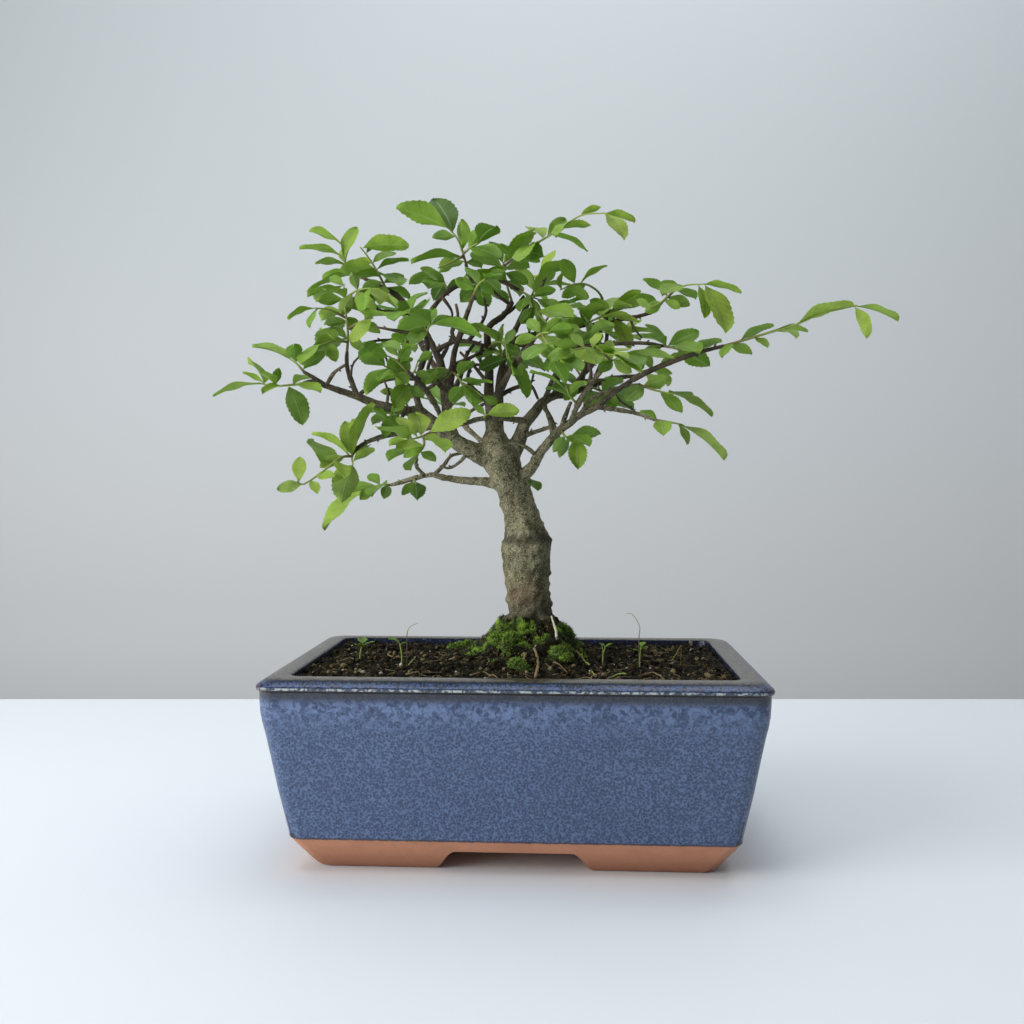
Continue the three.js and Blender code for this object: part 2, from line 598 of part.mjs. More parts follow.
// A round bar bent along points, with a radius at each: a closed cylinder whose rings are moved.
function bentBar(points, radii, sides, steps, relief = () => 1) {
  const curve = curveThrough(points);
  const frames = curve.computeFrenetFrames(steps, false);
  const bar = new THREE.CylinderGeometry(1, 1, 1, sides, steps);
  const place = bar.attributes.position;
  for (let i = 0; i < place.count; i += 1) {
    const ring = Math.round((0.5 - place.getY(i)) * steps);
    const along = curve.getUtoTmapping(ring / steps) * (radii.length - 1);
    const first = Math.min(Math.floor(along), radii.length - 2);
    const radius = THREE.MathUtils.lerp(radii[first], radii[first + 1], along - first);
    const x = place.getX(i);
    const z = place.getZ(i);
    const wave = radius * relief(Math.atan2(z, x), ring / steps);
    const moved = curve
      .getPointAt(ring / steps)
      .addScaledVector(frames.normals[ring], x * wave)
      .addScaledVector(frames.binormals[ring], -z * wave);
    place.setXYZ(i, moved.x, moved.y, moved.z);
  }
  const solid = solidOf(bar);
  return solid.volume() < 0 ? solidOf(turnedOut(bar)) : solid;
}

// The same geometry with each triangle turned to face the other way.
function turnedOut(geometry) {
  const turned = geometry.clone();
  const index = turned.index.array;
  for (let i = 0; i < index.length; i += 3) {
    [index[i + 1], index[i + 2]] = [index[i + 2], index[i + 1]];
  }
  return turned;
}

// A rounded rectangle's outline, inset from the rim's outer edge, with points between its corners.
function outlinePoints(inset, between) {
  const radius = Math.max(CORNER_RADIUS - CORNER_SHRINK * inset, LEAST_CORNER);
  const halfX = POT_LENGTH / 2 - inset - radius;
  const halfY = POT_DEPTH / 2 - inset - radius;
  const middles = [[halfX, halfY], [-halfX, halfY], [-halfX, -halfY], [halfX, -halfY]];
  const corners = middles.map(([x, y], corner) =>
    Array.from({ length: CORNER_STEPS + 1 }, (_, i) => {
      const angle = (corner + i / CORNER_STEPS) * (Math.PI / 2);
      return [x + radius * Math.cos(angle), y + radius * Math.sin(angle)];
    }),
  );
  return corners.flatMap((corner, i) => {
    const [fromX, fromY] = corner[CORNER_STEPS];
    const [toX, toY] = corners[(i + 1) % 4][0];
    const side = Array.from({ length: between }, (_, j) => {
      const share = (j + 1) / (between + 1);
      return [THREE.MathUtils.lerp(fromX, toX, share), THREE.MathUtils.lerp(fromY, toY, share)];
    });
    return [...corner, ...side];
  });
}

// A turned profile pressed into a rounded rectangle. Each profile point is an inset from the
// rim's outer edge and a height; the first and the last lie on the axis.
function rectangularLathe(profile, between = 0, heightAt = (x, y, z) => z) {
  const steps = 4 * (CORNER_STEPS + 1 + between);
  const rings = profile.map(([inset, z]) => new THREE.Vector2(inset === null ? 0 : 1, z));
  const outlines = profile.map(([inset]) => (inset === null ? null : outlinePoints(inset, between)));
  const lathe = new THREE.LatheGeometry(rings, steps);
  const place = lathe.attributes.position;
  for (let i = 0; i < place.count; i += 1) {
    const step = Math.floor(i / profile.length) % steps;
    const [inset, z, share = 1] = profile[i % profile.length];
    let x = 0;
    let y = 0;
    if (inset !== null) {
      [x, y] = outlines[i % profile.length][step];
      x = MOUND.x * (1 - share) + x * share;
      y = MOUND.y * (1 - share) + y * share;
    } else if (share === 0) {
      [x, y] = [MOUND.x, MOUND.y];
    }
    place.setXYZ(i, x, y, heightAt(x, y, z));
  }
  const solid = solidOf(lathe);
  return solid.volume() < 0 ? solidOf(turnedOut(lathe)) : solid;
}

// A prism with sloping, rounded sides, run through the pot along Y, or along X when turned.
function footCut(top, bottom, turned) {
  const { height, flare, lip } = FOOT_GAP;
  const outline = new THREE.Shape();
  outline.moveTo(-bottom - CUT_MARGIN, -CUT_MARGIN);
  outline.lineTo(bottom + CUT_MARGIN, -CUT_MARGIN);
  outline.lineTo(bottom, 0);
  outline.bezierCurveTo(bottom - flare, lip, top + flare, height, top, height);
  outline.lineTo(-top, height);
  outline.bezierCurveTo(-top - flare, height, flare - bottom, lip, -bottom, 0);
  outline.closePath();
  const depth = POT_LENGTH + 2 * CUT_MARGIN;
  const cut = new THREE.ExtrudeGeometry(outline, { depth, bevelEnabled: false, curveSegments: 4 });
  cut.translate(0, 0, -depth / 2);
  cut.rotateX(Math.PI / 2);
  if (turned) cut.rotateZ(Math.PI / 2);
  return solidOf(cut);
}

// How far the inner wall lies inside the rim's outer edge at a height.
function innerInsetAt(z) {
  const upper = INSIDE.findIndex(([, height]) => height >= z);
  const [fromInset, fromHeight] = INSIDE[upper - 1];
  const [toInset, toHeight] = INSIDE[upper];
  return THREE.MathUtils.mapLinear(z, fromHeight, toHeight, fromInset, toInset);
}

function potSolid() {
  const section = [...INSIDE, ...RIM, ...WALL, ...FOOT];
  const body = rectangularLathe([[null, FLOOR_TOP], ...section, [null, FLOOR_UNDERSIDE]]);
  const cuts = [
    footCut(FOOT_GAP.top, FOOT_GAP.bottom, false),
    footCut(FOOT_GAP.sideTop, FOOT_GAP.sideBottom, true),
  ];
  for (const side of [-1, 1]) {
    const drain = new THREE.CylinderGeometry(DRAIN_RADIUS, DRAIN_RADIUS, POT_HEIGHT, DRAIN_SIDES);
    drain.rotateX(Math.PI / 2);
    drain.translate(side * DRAIN_PLACE, 0, 0);
    cuts.push(solidOf(drain));
  }
  return body.subtract(joined(cuts));
}

function screenSolid(side) {
  const { side: width, thickness, hole, pitch } = SCREEN;
  const holes = [];
  for (const row of [-1, 1]) {
    for (const column of [-1, 1]) {
      const opening = new THREE.BoxGeometry(hole, hole, 3 * thickness);
      opening.translate(column * pitch, row * pitch, 0);
      holes.push(solidOf(opening));
    }
  }
  const screen = solidOf(new THREE.BoxGeometry(width, width, thickness)).subtract(joined(holes));
  return screen.translate([side * DRAIN_PLACE, 0, FLOOR_TOP + SEAT_GAP + thickness / 2]);
}

// The height of the soil: it falls to the back, is lumpy, and rises in a mound to the trunk.
function soilHeight(x, y) {
  const fall = SOIL_BACK_FALL * THREE.MathUtils.smoothstep(y, -16, 49);
  const broadLumps = 0.7 * Math.sin(0.21 * x + 1.3) * Math.cos(0.27 * y);
  const fineLumps = 0.4 * Math.sin(0.53 * x - 0.41 * y);
  const reach = y < MOUND.y ? MOUND.frontReach : MOUND.reach;
  const away = ((x - MOUND.x) / MOUND.reach) ** 2 + ((y - MOUND.y) / reach) ** 2;
  return POT_HEIGHT - SOIL_BELOW_RIM - fall + broadLumps + fineLumps + MOUND.height * Math.exp(-away);
}

function soilSolid(lift) {
  const bottom = FLOOR_TOP + SEAT_GAP + SCREEN.thickness + SEAT_GAP;
  const lowestEdge = POT_HEIGHT - SOIL_BELOW_RIM - SOIL_BACK_FALL - SOIL_LUMPS;
  const edge = innerInsetAt(lowestEdge) + SEAT_GAP;
  const sides = [[innerInsetAt(bottom), bottom], ...INSIDE.slice(1, 3)];
  const shares = [0.78, 0.58, 0.43, 0.3, 0.2, 0.1];
  return rectangularLathe(
    [
      [null, bottom],
      ...sides.map(([inset, z]) => [inset + 2 * SEAT_GAP, z]),
      [edge, null, 1],
      ...shares.map((share) => [edge, null, share]),
      [null, null, 0],
    ],
    SOIL_SIDE_POINTS,
    (x, y, z) => (z === null ? soilHeight(x, y) + lift : z),
  );
}

// The height of the soil's solid under a point: its facets lie a little off the formula.
const ground = meshOf("ground", soilSolid(0), COLOURS.soil);
function groundHeight(x, y) {
  const down = new THREE.Raycaster(new THREE.Vector3(x, y, 2 * POT_HEIGHT), new THREE.Vector3(0, 0, -1));
  return down.intersectObject(ground)[0].point.z;
}

// The trunk's girth round its axis and along it: it is fluted and twists as it rises.
function trunkRelief(angle, along) {
  return 1 + 0.05 * Math.sin(3 * angle + 9 * along) + 0.03 * Math.sin(5 * angle - 14 * along);
}

// All the wood, with every bar thicker by a margin.
function woodSolid(margin) {
  const bars = Object.entries(WOOD).map(([name, route]) => {
    const points = route.map(seen);
    const radii = route.map((point) => point[3] / 2 + margin);
    if (name === "trunk") return bentBar(points, radii, TRUNK_SIDES, TRUNK_STEPS, trunkRelief);
    const thickest = Math.max(...radii.slice(1));
    const sides = thickest > THICK_BRANCH ? BRANCH_SIDES : TWIG_SIDES;
    return bentBar(points, radii, sides, Math.max(2, Math.round(STEP_SHARE * (route.length - 1))));
  });
  for (const [heading, length, thickness] of ROOTS) {
    const angle = THREE.MathUtils.degToRad(heading);
    const at = (share, sink) => {
      const x = MOUND.x + Math.cos(angle) * length * share;
      const y = MOUND.y + Math.sin(angle) * length * share;
      return new THREE.Vector3(x, y, groundHeight(x, y) - sink);
    };
    const route = ROOT_COURSE.map(([share, sink]) => at(share, sink));
    const radii = ROOT_COURSE.map(([, , girth]) => girth * thickness + margin);
    bars.push(bentBar(route, radii, ROOT_SIDES, ROOT_STEPS));
  }
  return joined(bars);
}

function curveThrough(points) {
  return new THREE.CatmullRomCurve3(points, false, "catmullrom", 0.5);
}

const WOOD_CURVES = Object.values(WOOD).map((route) => ({ route, curve: curveThrough(route.map(seen)) }));

// The stems of a shoot. The first starts in the middle of the wood nearest to it.
function stemCurves(shoot) {
  const stems = shoot.stems.map((stem) => stem.map(seen));
  const start = stems[0][0];
  let nearest = null;
  for (const { curve } of WOOD_CURVES) {
    for (const point of curve.getPoints(WOOD_SAMPLES)) {
      if (!nearest || point.distanceTo(start) < nearest.distanceTo(start)) nearest = point;
    }
  }
  stems[0][0] = nearest;
  return stems.map(curveThrough);
}

function nearestOnStems(curves, column, row) {
  let best = null;
  for (const curve of curves) {
    for (let i = 0; i <= STEM_SAMPLES; i += 1) {
      const point = curve.getPoint(i / STEM_SAMPLES);
      const sight = seen([column, row, point.y]);
      const distance = sight.distanceTo(point);
      if (!best || distance < best.distance) best = { distance, point };
    }
  }
  return best.point;
}

// Which way is up for a blade: it is turned about its midrib until it looks as wide as it is seen.
function bladeUp(base, tip, seenWidth, width) {
  const along = tip.clone().sub(base).normalize();
  const sight = base.clone().sub(EYE).normalize();
  const across = new THREE.Vector3().crossVectors(along, sight).normalize();
  const facing = new THREE.Vector3().crossVectors(across, along).normalize();
  const turn = Math.acos(Math.min(1, seenWidth / width));
  const choices = [turn, -turn].map((angle) => facing.clone().applyAxisAngle(along, angle));
  const best = Math.abs(choices[0].z) >= Math.abs(choices[1].z) ? choices[0] : choices[1];
  return best.z < 0 ? best.negate() : best;
}

function seenLeaf(curves, leaf, order) {
  const [baseColumn, baseRow, tipColumn, tipRow, seenSquares] = leaf;
  const base = nearestOnStems(curves, baseColumn, baseRow);
  const flatTip = seen([tipColumn, tipRow, base.y]);
  const scale = base.distanceTo(EYE) / FOCAL;
  const seenWidth = seenSquares * scale;
  const seenLength = flatTip.distanceTo(base);
  const length = Math.max(seenLength * SEEN_STRETCH, seenWidth / LEAF_ASPECT);
  const hand = draw(order, 1) < FORWARD_SHARE ? -1 : 1;
  const lean = Math.sqrt(length ** 2 - seenLength ** 2) * hand;
  return { base, tipColumn, tipRow, depth: base.y + lean, seenWidth };
}

function placedBlade(leaf, depthShift) {
  const tip = seen([leaf.tipColumn, leaf.tipRow, leaf.depth + depthShift]);
  const length = tip.distanceTo(leaf.base);
  const width = Math.max(LEAF_ASPECT * length, leaf.seenWidth);
  return { base: leaf.base, tip, length, width, up: bladeUp(leaf.base, tip, leaf.seenWidth, width) };
}

// Leaves set by rule: alternately to each side along the stem, with one at its end.
function ruledLeaves(curves, shoot, order) {
  const leaves = [];
  for (let i = 0; i < (shoot.fill ?? 0); i += 1) {
    const curve = curves[i % curves.length];
    const along = 1 - (0.9 * i) / shoot.fill;
    const base = curve.getPoint(along);
    const tangent = curve.getTangent(along);
    const side = new THREE.Vector3().crossVectors(tangent, Z_AXIS).normalize();
    const hand = i === 0 ? 0.15 : i % 2 ? 1 : -1;
    const heading = tangent
      .multiplyScalar(i === 0 ? 1 : 0.45)
      .addScaledVector(side, 0.9 * hand)
      .addScaledVector(Z_AXIS, 0.45 - 0.8 * draw(order + i, 2))
      .normalize();
    const length = shoot.length * (0.8 + 0.4 * draw(order + i, 3));
    leaves.push({ base, heading, length });
  }
  return leaves;
}

function ruledBlade(leaf, depthShift) {
  const tip = leaf.base.clone().addScaledVector(leaf.heading, leaf.length);
  tip.y += depthShift;
  const along = tip.clone().sub(leaf.base).normalize();
  tip.copy(leaf.base).addScaledVector(along, leaf.length);
  const up = Z_AXIS.clone().addScaledVector(along, -along.z).normalize();
  return { base: leaf.base, tip, length: leaf.length, width: LEAF_ASPECT * leaf.length, up };
}

// Points spread over a blade, to keep it clear of other things.
function bladePoints(blade) {
  const along = blade.tip.clone().sub(blade.base);
  const across = new THREE.Vector3().crossVectors(blade.up, along).normalize();
  const points = [];
  for (const share of [0.35, 0.58, 0.8, 1]) {
    for (const side of [-0.32, 0, 0.32]) {
      const wide = share === 1 ? 0 : side;
      const point = blade.base.clone().addScaledVector(along, share);
      points.push(point.addScaledVector(across, wide * blade.width));
    }
  }
  return points;
}

// Every blade of every shoot, each moved in depth until it is clear of wood, stems and leaves.
function placeAll() {
  const obstacles = [];
  for (const { route, curve } of WOOD_CURVES) {
    const count = 6 * (route.length - 1);
    for (let i = 0; i <= count; i += 1) {
      const along = (i / count) * (route.length - 1);
      const first = Math.min(Math.floor(along), route.length - 2);
      const radius = THREE.MathUtils.lerp(route[first][3], route[first + 1][3], along - first) / 2;
      obstacles.push({ point: curve.getPoint(i / count), keep: radius + WOOD_CLEARANCE });
    }
  }
  const shoots = Object.entries(SHOOTS).map(([name, shoot]) => {
    return { name, shoot, curves: stemCurves(shoot), blades: [] };
  });
  for (const { name, curves } of shoots) {
    for (const curve of curves) {
      for (let i = 2; i <= 20; i += 1) {
        obstacles.push({ point: curve.getPoint(i / 20), keep: STEM_RADIUS + WOOD_CLEARANCE, owner: name });
      }
    }
  }
  const room = (points, owner) => {
    let least = Infinity;
    for (const obstacle of obstacles) {
      if (obstacle.owner === owner && !obstacle.leaf) continue;
      for (const point of points) {
        least = Math.min(least, point.distanceTo(obstacle.point) - obstacle.keep);
      }
    }
    return least;
  };
  let order = 0;
  for (const entry of shoots) {
    const seenLeaves = entry.shoot.leaves.map((leaf, i) => seenLeaf(entry.curves, leaf, order + i));
    order += entry.shoot.leaves.length;
    const ruled = ruledLeaves(entry.curves, entry.shoot, order);
    order += ruled.length;
    for (const leaf of [...seenLeaves, ...ruled]) {
      const maker = leaf.heading ? ruledBlade : placedBlade;
      let best = null;
      for (const shift of DEPTH_TRIES) {
        const blade = maker(leaf, shift);
        const points = bladePoints(blade);
        const least = room(points, entry.name);
        if (!best || least > best.least) best = { blade, points, least };
        if (least >= 0) break;
      }
      entry.blades.push(best.blade);
      for (const point of best.points) {
        obstacles.push({ point, keep: LEAF_CLEARANCE, owner: entry.name, leaf: true });
      }
    }
  }
  return shoots;
}

// One toothed leaf: a folded, slightly arched blade with its midrib and both faces split alike.
function bladeSolid({ base, tip, length, width, up }) {
  const along = tip.clone().sub(base);
  const across = new THREE.Vector3().crossVectors(up, along).normalize();
  const side = length > TOOTHED_LENGTH ? TOOTHED_EDGE : PLAIN_EDGE;
  const stations = [...MIDRIB, ...side, ...side.map(([share, wide]) => [share, -wide])];
  const places = [];
  for (const face of [1, -1]) {
    for (const [s, u] of stations) {
      const arch = BLADE_ARCH * length * s * (1 - s);
      const fold = BLADE_FOLD * width * Math.abs(u) * Math.min(1, 3 * s);
      const point = base
        .clone()
        .addScaledVector(along, s)
        .addScaledVector(across, (u * width) / 2)
        .addScaledVector(up, arch + fold + (face * BLADE_THICKNESS) / 2);
      places.push(point.x, point.y, point.z);
    }
  }
  const n = side.length;
  const [foot, middle, end] = [0, 1, 2];
  const corners = [];
  const halves = [[3, 1], [3 + n, -1]];
  const total = stations.length;
  for (const [start, hand] of halves) {
    const triangles = [[foot, start, middle]];
    for (let i = 0; i < n - 1; i += 1) triangles.push([middle, start + i, start + i + 1]);
    triangles.push([middle, start + n - 1, end]);
    for (const [a, b, c] of triangles) {
      corners.push(...(hand > 0 ? [a, c, b] : [a, b, c]));
      corners.push(...(hand > 0 ? [a, b, c] : [a, c, b]).map((corner) => corner + total));
    }
  }
  const rim = [foot];
  for (let i = 0; i < n; i += 1) rim.push(3 + i);
  rim.push(end);
  for (let i = n - 1; i >= 0; i -= 1) rim.push(3 + n + i);
  rim.forEach((corner, i) => {
    const next = rim[(i + 1) % rim.length];
    corners.push(corner, next, corner + total);
    corners.push(next, next + total, corner + total);
  });
  const geometry = new THREE.BufferGeometry();
  geometry.setAttribute("position", new THREE.BufferAttribute(new Float32Array(places), 3));
  geometry.setIndex(corners);
  const solid = solidOf(geometry);
  return solid.volume() < 0 ? solidOf(turnedOut(geometry)) : solid;
}

function shootSolid({ curves, blades }) {
  const stems = curves.map(({ points }) => {
    const radii = points.map((_, at) => STEM_RADIUS * (1.15 - (0.5 * at) / points.length));
    return bentBar(points, radii, 3, points.length - 1);
  });
  const grown = blades.filter((blade) => blade.length > YOUNG_LENGTH);
  return joined([...stems, ...grown.map(bladeSolid)]);
}

function mossSolid(cushions, cut) {
  const lumps = cushions.map(([x, y, radius]) => {
    const ball = new THREE.SphereGeometry(radius, CUSHION_SIDES, CUSHION_RINGS);
    ball.rotateX(Math.PI / 2);
    ball.scale(1, 1, CUSHION_FLATNESS);
    ball.translate(x, y, groundHeight(x, y) + CUSHION_LIFT * radius);
    return solidOf(ball);
  });
  return largestBody(joined(lumps).subtract(cut));
}

function seedlingParts({ foot, height, lean, leaves }, margin) {
  const [x, y] = foot;
  const level = groundHeight(x, y);
  const root = new THREE.Vector3(x, y, level - SEEDLING_DEPTH);
  const mid = new THREE.Vector3(x, y, level + 0.4 * height);
  const top = new THREE.Vector3(x + lean[0], y + lean[1], level + height);
  const radii = SEEDLING_RADII.map((radius) => radius + margin);
  const stem = bentBar([root, mid, top], radii, TWIG_SIDES, ROOT_STEPS);
  const curve = curveThrough([root, mid, top]);
  const blades = leaves.map(([heading, share, length, width]) => {
    const base = curve.getPoint(0.5 + share / 2);
    const angle = THREE.MathUtils.degToRad(heading);
    const along = new THREE.Vector3(Math.cos(angle), Math.sin(angle), SEEDLING_LEAF_RISE).normalize();
    const tip = base.clone().addScaledVector(along, length);
    const up = Z_AXIS.clone().addScaledVector(along, -along.z).normalize();
    return bladeSolid({ base, tip, length, width, up });
  });
  return { stem, blades };
}

const group = new THREE.Group();
const tree = new THREE.Group();
group.add(tree);

const wood = woodSolid(0);
const woodRoom = woodSolid(SEAT_GAP);
const holes = Object.values(SEEDLINGS).map((seedling) => seedlingParts(seedling, SEAT_GAP).stem);
const soilCut = joined([woodRoom, ...holes]);

tree.add(meshOf("pot", potSolid(), COLOURS.glaze, 0.2));
tree.add(meshOf("drain_screen_left", screenSolid(-1), COLOURS.mesh, 0.7));
tree.add(meshOf("drain_screen_right", screenSolid(1), COLOURS.mesh, 0.7));
tree.add(meshOf("soil", largestBody(soilSolid(0).subtract(soilCut)), COLOURS.soil, 0.95));
tree.add(meshOf("trunk_and_branches", wood, COLOURS.bark, 0.85));
const mossCut = soilSolid(SEAT_GAP).add(woodRoom);
for (const [name, cushions] of Object.entries(MOSS)) {
  tree.add(meshOf(name, mossSolid(cushions, mossCut), COLOURS.moss, 0.95));
}
for (const [name, seedling] of Object.entries(SEEDLINGS)) {
  const { stem, blades } = seedlingParts(seedling, 0);
  tree.add(meshOf(name, joined([stem, ...blades]), COLOURS.seedling, 0.6));
}
for (const entry of placeAll()) {
  const solid = largestBody(shootSolid(entry).subtract(woodRoom));
  tree.add(meshOf("leaves_" + entry.name, solid, COLOURS.leaf, 0.55));
}

const box = new THREE.Box3().setFromObject(tree);
tree.position.set(-(box.min.x + box.max.x) / 2, -(box.min.y + box.max.y) / 2, 0);

export default group;
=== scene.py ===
import math

import bpy
import numpy as np
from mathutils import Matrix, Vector, noise


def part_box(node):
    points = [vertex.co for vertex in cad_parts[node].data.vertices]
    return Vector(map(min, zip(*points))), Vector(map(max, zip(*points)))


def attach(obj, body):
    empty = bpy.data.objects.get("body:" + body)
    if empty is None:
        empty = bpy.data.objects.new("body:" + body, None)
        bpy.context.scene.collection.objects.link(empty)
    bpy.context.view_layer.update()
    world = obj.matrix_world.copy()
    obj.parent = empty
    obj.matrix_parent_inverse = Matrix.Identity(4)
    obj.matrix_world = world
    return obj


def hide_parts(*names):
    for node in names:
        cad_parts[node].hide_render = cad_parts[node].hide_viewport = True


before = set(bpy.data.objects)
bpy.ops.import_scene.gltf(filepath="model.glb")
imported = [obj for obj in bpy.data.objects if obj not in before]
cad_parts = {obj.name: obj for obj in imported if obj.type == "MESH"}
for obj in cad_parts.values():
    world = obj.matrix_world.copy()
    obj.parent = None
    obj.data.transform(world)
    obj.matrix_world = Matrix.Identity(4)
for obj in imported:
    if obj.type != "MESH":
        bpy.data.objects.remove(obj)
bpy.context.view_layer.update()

MM = 0.001

# Everything is laid out in millimetres round the middle of the pot, on the surface that it
# stands on, and moved to the part's own frame when a mesh is made.
pot_low, pot_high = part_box("pot")
POT_MIDDLE = np.array([(pot_low.x + pot_high.x) / 2, (pot_low.y + pot_high.y) / 2, 0.0]) / MM

# The pot. Its section is given by rings of inset from the rim's outer edge and height: down the
# glazed wall and round the clay foot, and over the rim and down the inside.
POT_LENGTH, POT_DEPTH, POT_HEIGHT = 202.0, 131.6, 79.3
EDGE_HEIGHT, CORNER_RADIUS = 75.8, 7.0
GLAZE_LINE = 14.0
FLOOR_TOP, FLOOR_UNDERSIDE = 14.0, 9.0
OUTSIDE = [
    (0.04, 75.45), (0.22, 75.05), (0.6, 74.7), (1.0, 74.4), (1.08, 73.6), (1.16, 70.5), (1.4, 66.0), (2.0, 61.8),
    (3.0, 57.0), (4.6, 47.8), (6.9, 34.0), (8.85, 24.0), (10.35, 16.4), (10.5, 15.0), (10.55, 14.4), (10.8, 14.0),
    (11.1, 13.7), (12.0, 12.2), (13.0, 10.7), (14.5, 8.6), (16.0, 6.5), (17.4, 4.4), (18.6, 2.7), (19.8, 1.2),
    (20.7, 0.4), (21.5, 0.0), (30.9, 0.0), (31.5, 0.5), (33.0, FLOOR_UNDERSIDE),
]
INSIDE = [
    (0.02, 76.15), (0.15, 76.55), (0.5, 77.0), (1.2, 77.55), (2.2, 78.15), (3.3, 78.75), (4.5, 79.12),
    (6.0, POT_HEIGHT), (10.5, POT_HEIGHT), (11.05, 79.18), (11.4, 78.85), (11.52, 78.3), (12.0, 72.0),
    (13.5, 45.0), (17.2, 18.0), (19.4, 15.2), (21.5, FLOOR_TOP),
]
INNER_GLAZE_INSET, INNER_GLAZE_TOP = 11.3, 79.0
DRAIN_RADIUS, DRAIN_PLACE = 8.0, 38.0
DRAIN_CUTTER_MIDDLE, DRAIN_CUTTER_LENGTH = 10.5, 20.0

# The gaps between the feet: half their width at the top and at the bottom. The edge of a gap goes
# from the bottom's width to the top's by shares, each at a share of the gap's height.
FOOT_GAP_HEIGHT = 9.0
FRONT_GAP_TOP, FRONT_GAP_BOTTOM = 23.3, 33.8
SIDE_GAP_TOP, SIDE_GAP_BOTTOM = 13.0, 20.0
FOOT_GAP_SIDE = [
    (1.0, 0.0), (0.8, 0.03), (0.64, 0.17), (0.5, 0.4), (0.36, 0.66), (0.22, 0.86), (0.1, 0.965), (0.0, 1.0),
]
GAP_CUTTER_START, GAP_CUTTER_LENGTH = -1.0, 300.0

# The soil: its sides go down inside the pot by rings of inset and height, and crumbs lie on it.
SOIL_BELOW_RIM, SOIL_BACK_FALL = 2.3, 0.4
SOIL_EDGE_INSET, SOIL_CORNER = 11.95, 5.9
SOIL_SIDES = [(13.8, 45.0), (17.7, 18.3), (21.0, FLOOR_TOP + 0.3)]
SOIL_COLUMNS, SOIL_ROWS = 250, 164
MOUND_X, MOUND_Y, MOUND_HEIGHT, MOUND_REACH, MOUND_FRONT_REACH = 4.0, 3.0, 21.3, 22.0, 26.0
CRUMB_COUNT, CRUMB_REACH_X, CRUMB_REACH_Y = 6500, 88.3, 53.2
CRUMB_CORNER_X, CRUMB_CORNER_Y = 84, 49

# The wood. What is thicker than THICK grows into one skin, and the rest are twigs.
THICK = 2.3
BARK_VOXEL = 0.62
WOOD_SPACING, TWIG_SWELL = 1.9, 1.12

# Leaves and their stems.
LEAF_ASPECT, LEAF_THICKNESS = 0.52, 0.3
LEAF_STATIONS, SMALL_LEAF_STATIONS, SMALL_LEAF_LENGTH = 20, 10, 9
STEM_RADIUS, STEM_SPACING = 0.55, 1.6
LEAF_CLEARANCE, WOOD_CLEARANCE = 3.2, 1.2
WOOD_SAMPLES, STEM_SAMPLES = 80, 40
DEPTH_TRIES = (0, -4, 4, -8, 8, -12, 12, -16, 16)

# Moss tips on the ground; the ground's height on the roots, where it rises outward from the trunk;
# and loose fibres and white grains.
MOSS_TIPS, ROOT_COVER = 12500, 9000
COVER_HEIGHT, COVER_TOP, TRUNK_REACH = 93.5, 99.0, 9.0
FIBRES, LOOSE_GRAINS = 620, 26

# Where each draw of random numbers starts, and the range of a heading drawn from them.
CRUMB_SEED, MOSS_SEED, ROOT_COVER_SEED, CUSHION_SEED, LITTER_SEED = 11, 23, 41, 5, 31
FULL_TURN = 6.28

# Where the tree is looked at from. Routes and leaves are given as they are seen from there: a
# column and a row of a picture 1024 squares wide, and a depth in mm behind the pot's middle.
EYE = np.array([23.0, -474.0, 155.0])
FOCAL = 1074.0
PICTURE, PICTURE_MIDDLE = 1024.0, 512.0
YAW, PITCH = math.radians(-3.18), math.radians(1.43)
FORWARD = np.array([
    math.sin(YAW) * math.cos(PITCH), math.cos(YAW) * math.cos(PITCH), -math.sin(PITCH),
])
RIGHT = np.array([math.cos(YAW), -math.sin(YAW), 0.0])
UP = np.cross(RIGHT, FORWARD)
SENSOR = 36.0

# The numbers of a Mix node's sockets for colours: both colours in, and the colour out.
FIRST_COLOUR, SECOND_COLOUR, MIXED_COLOUR = 6, 7, 2

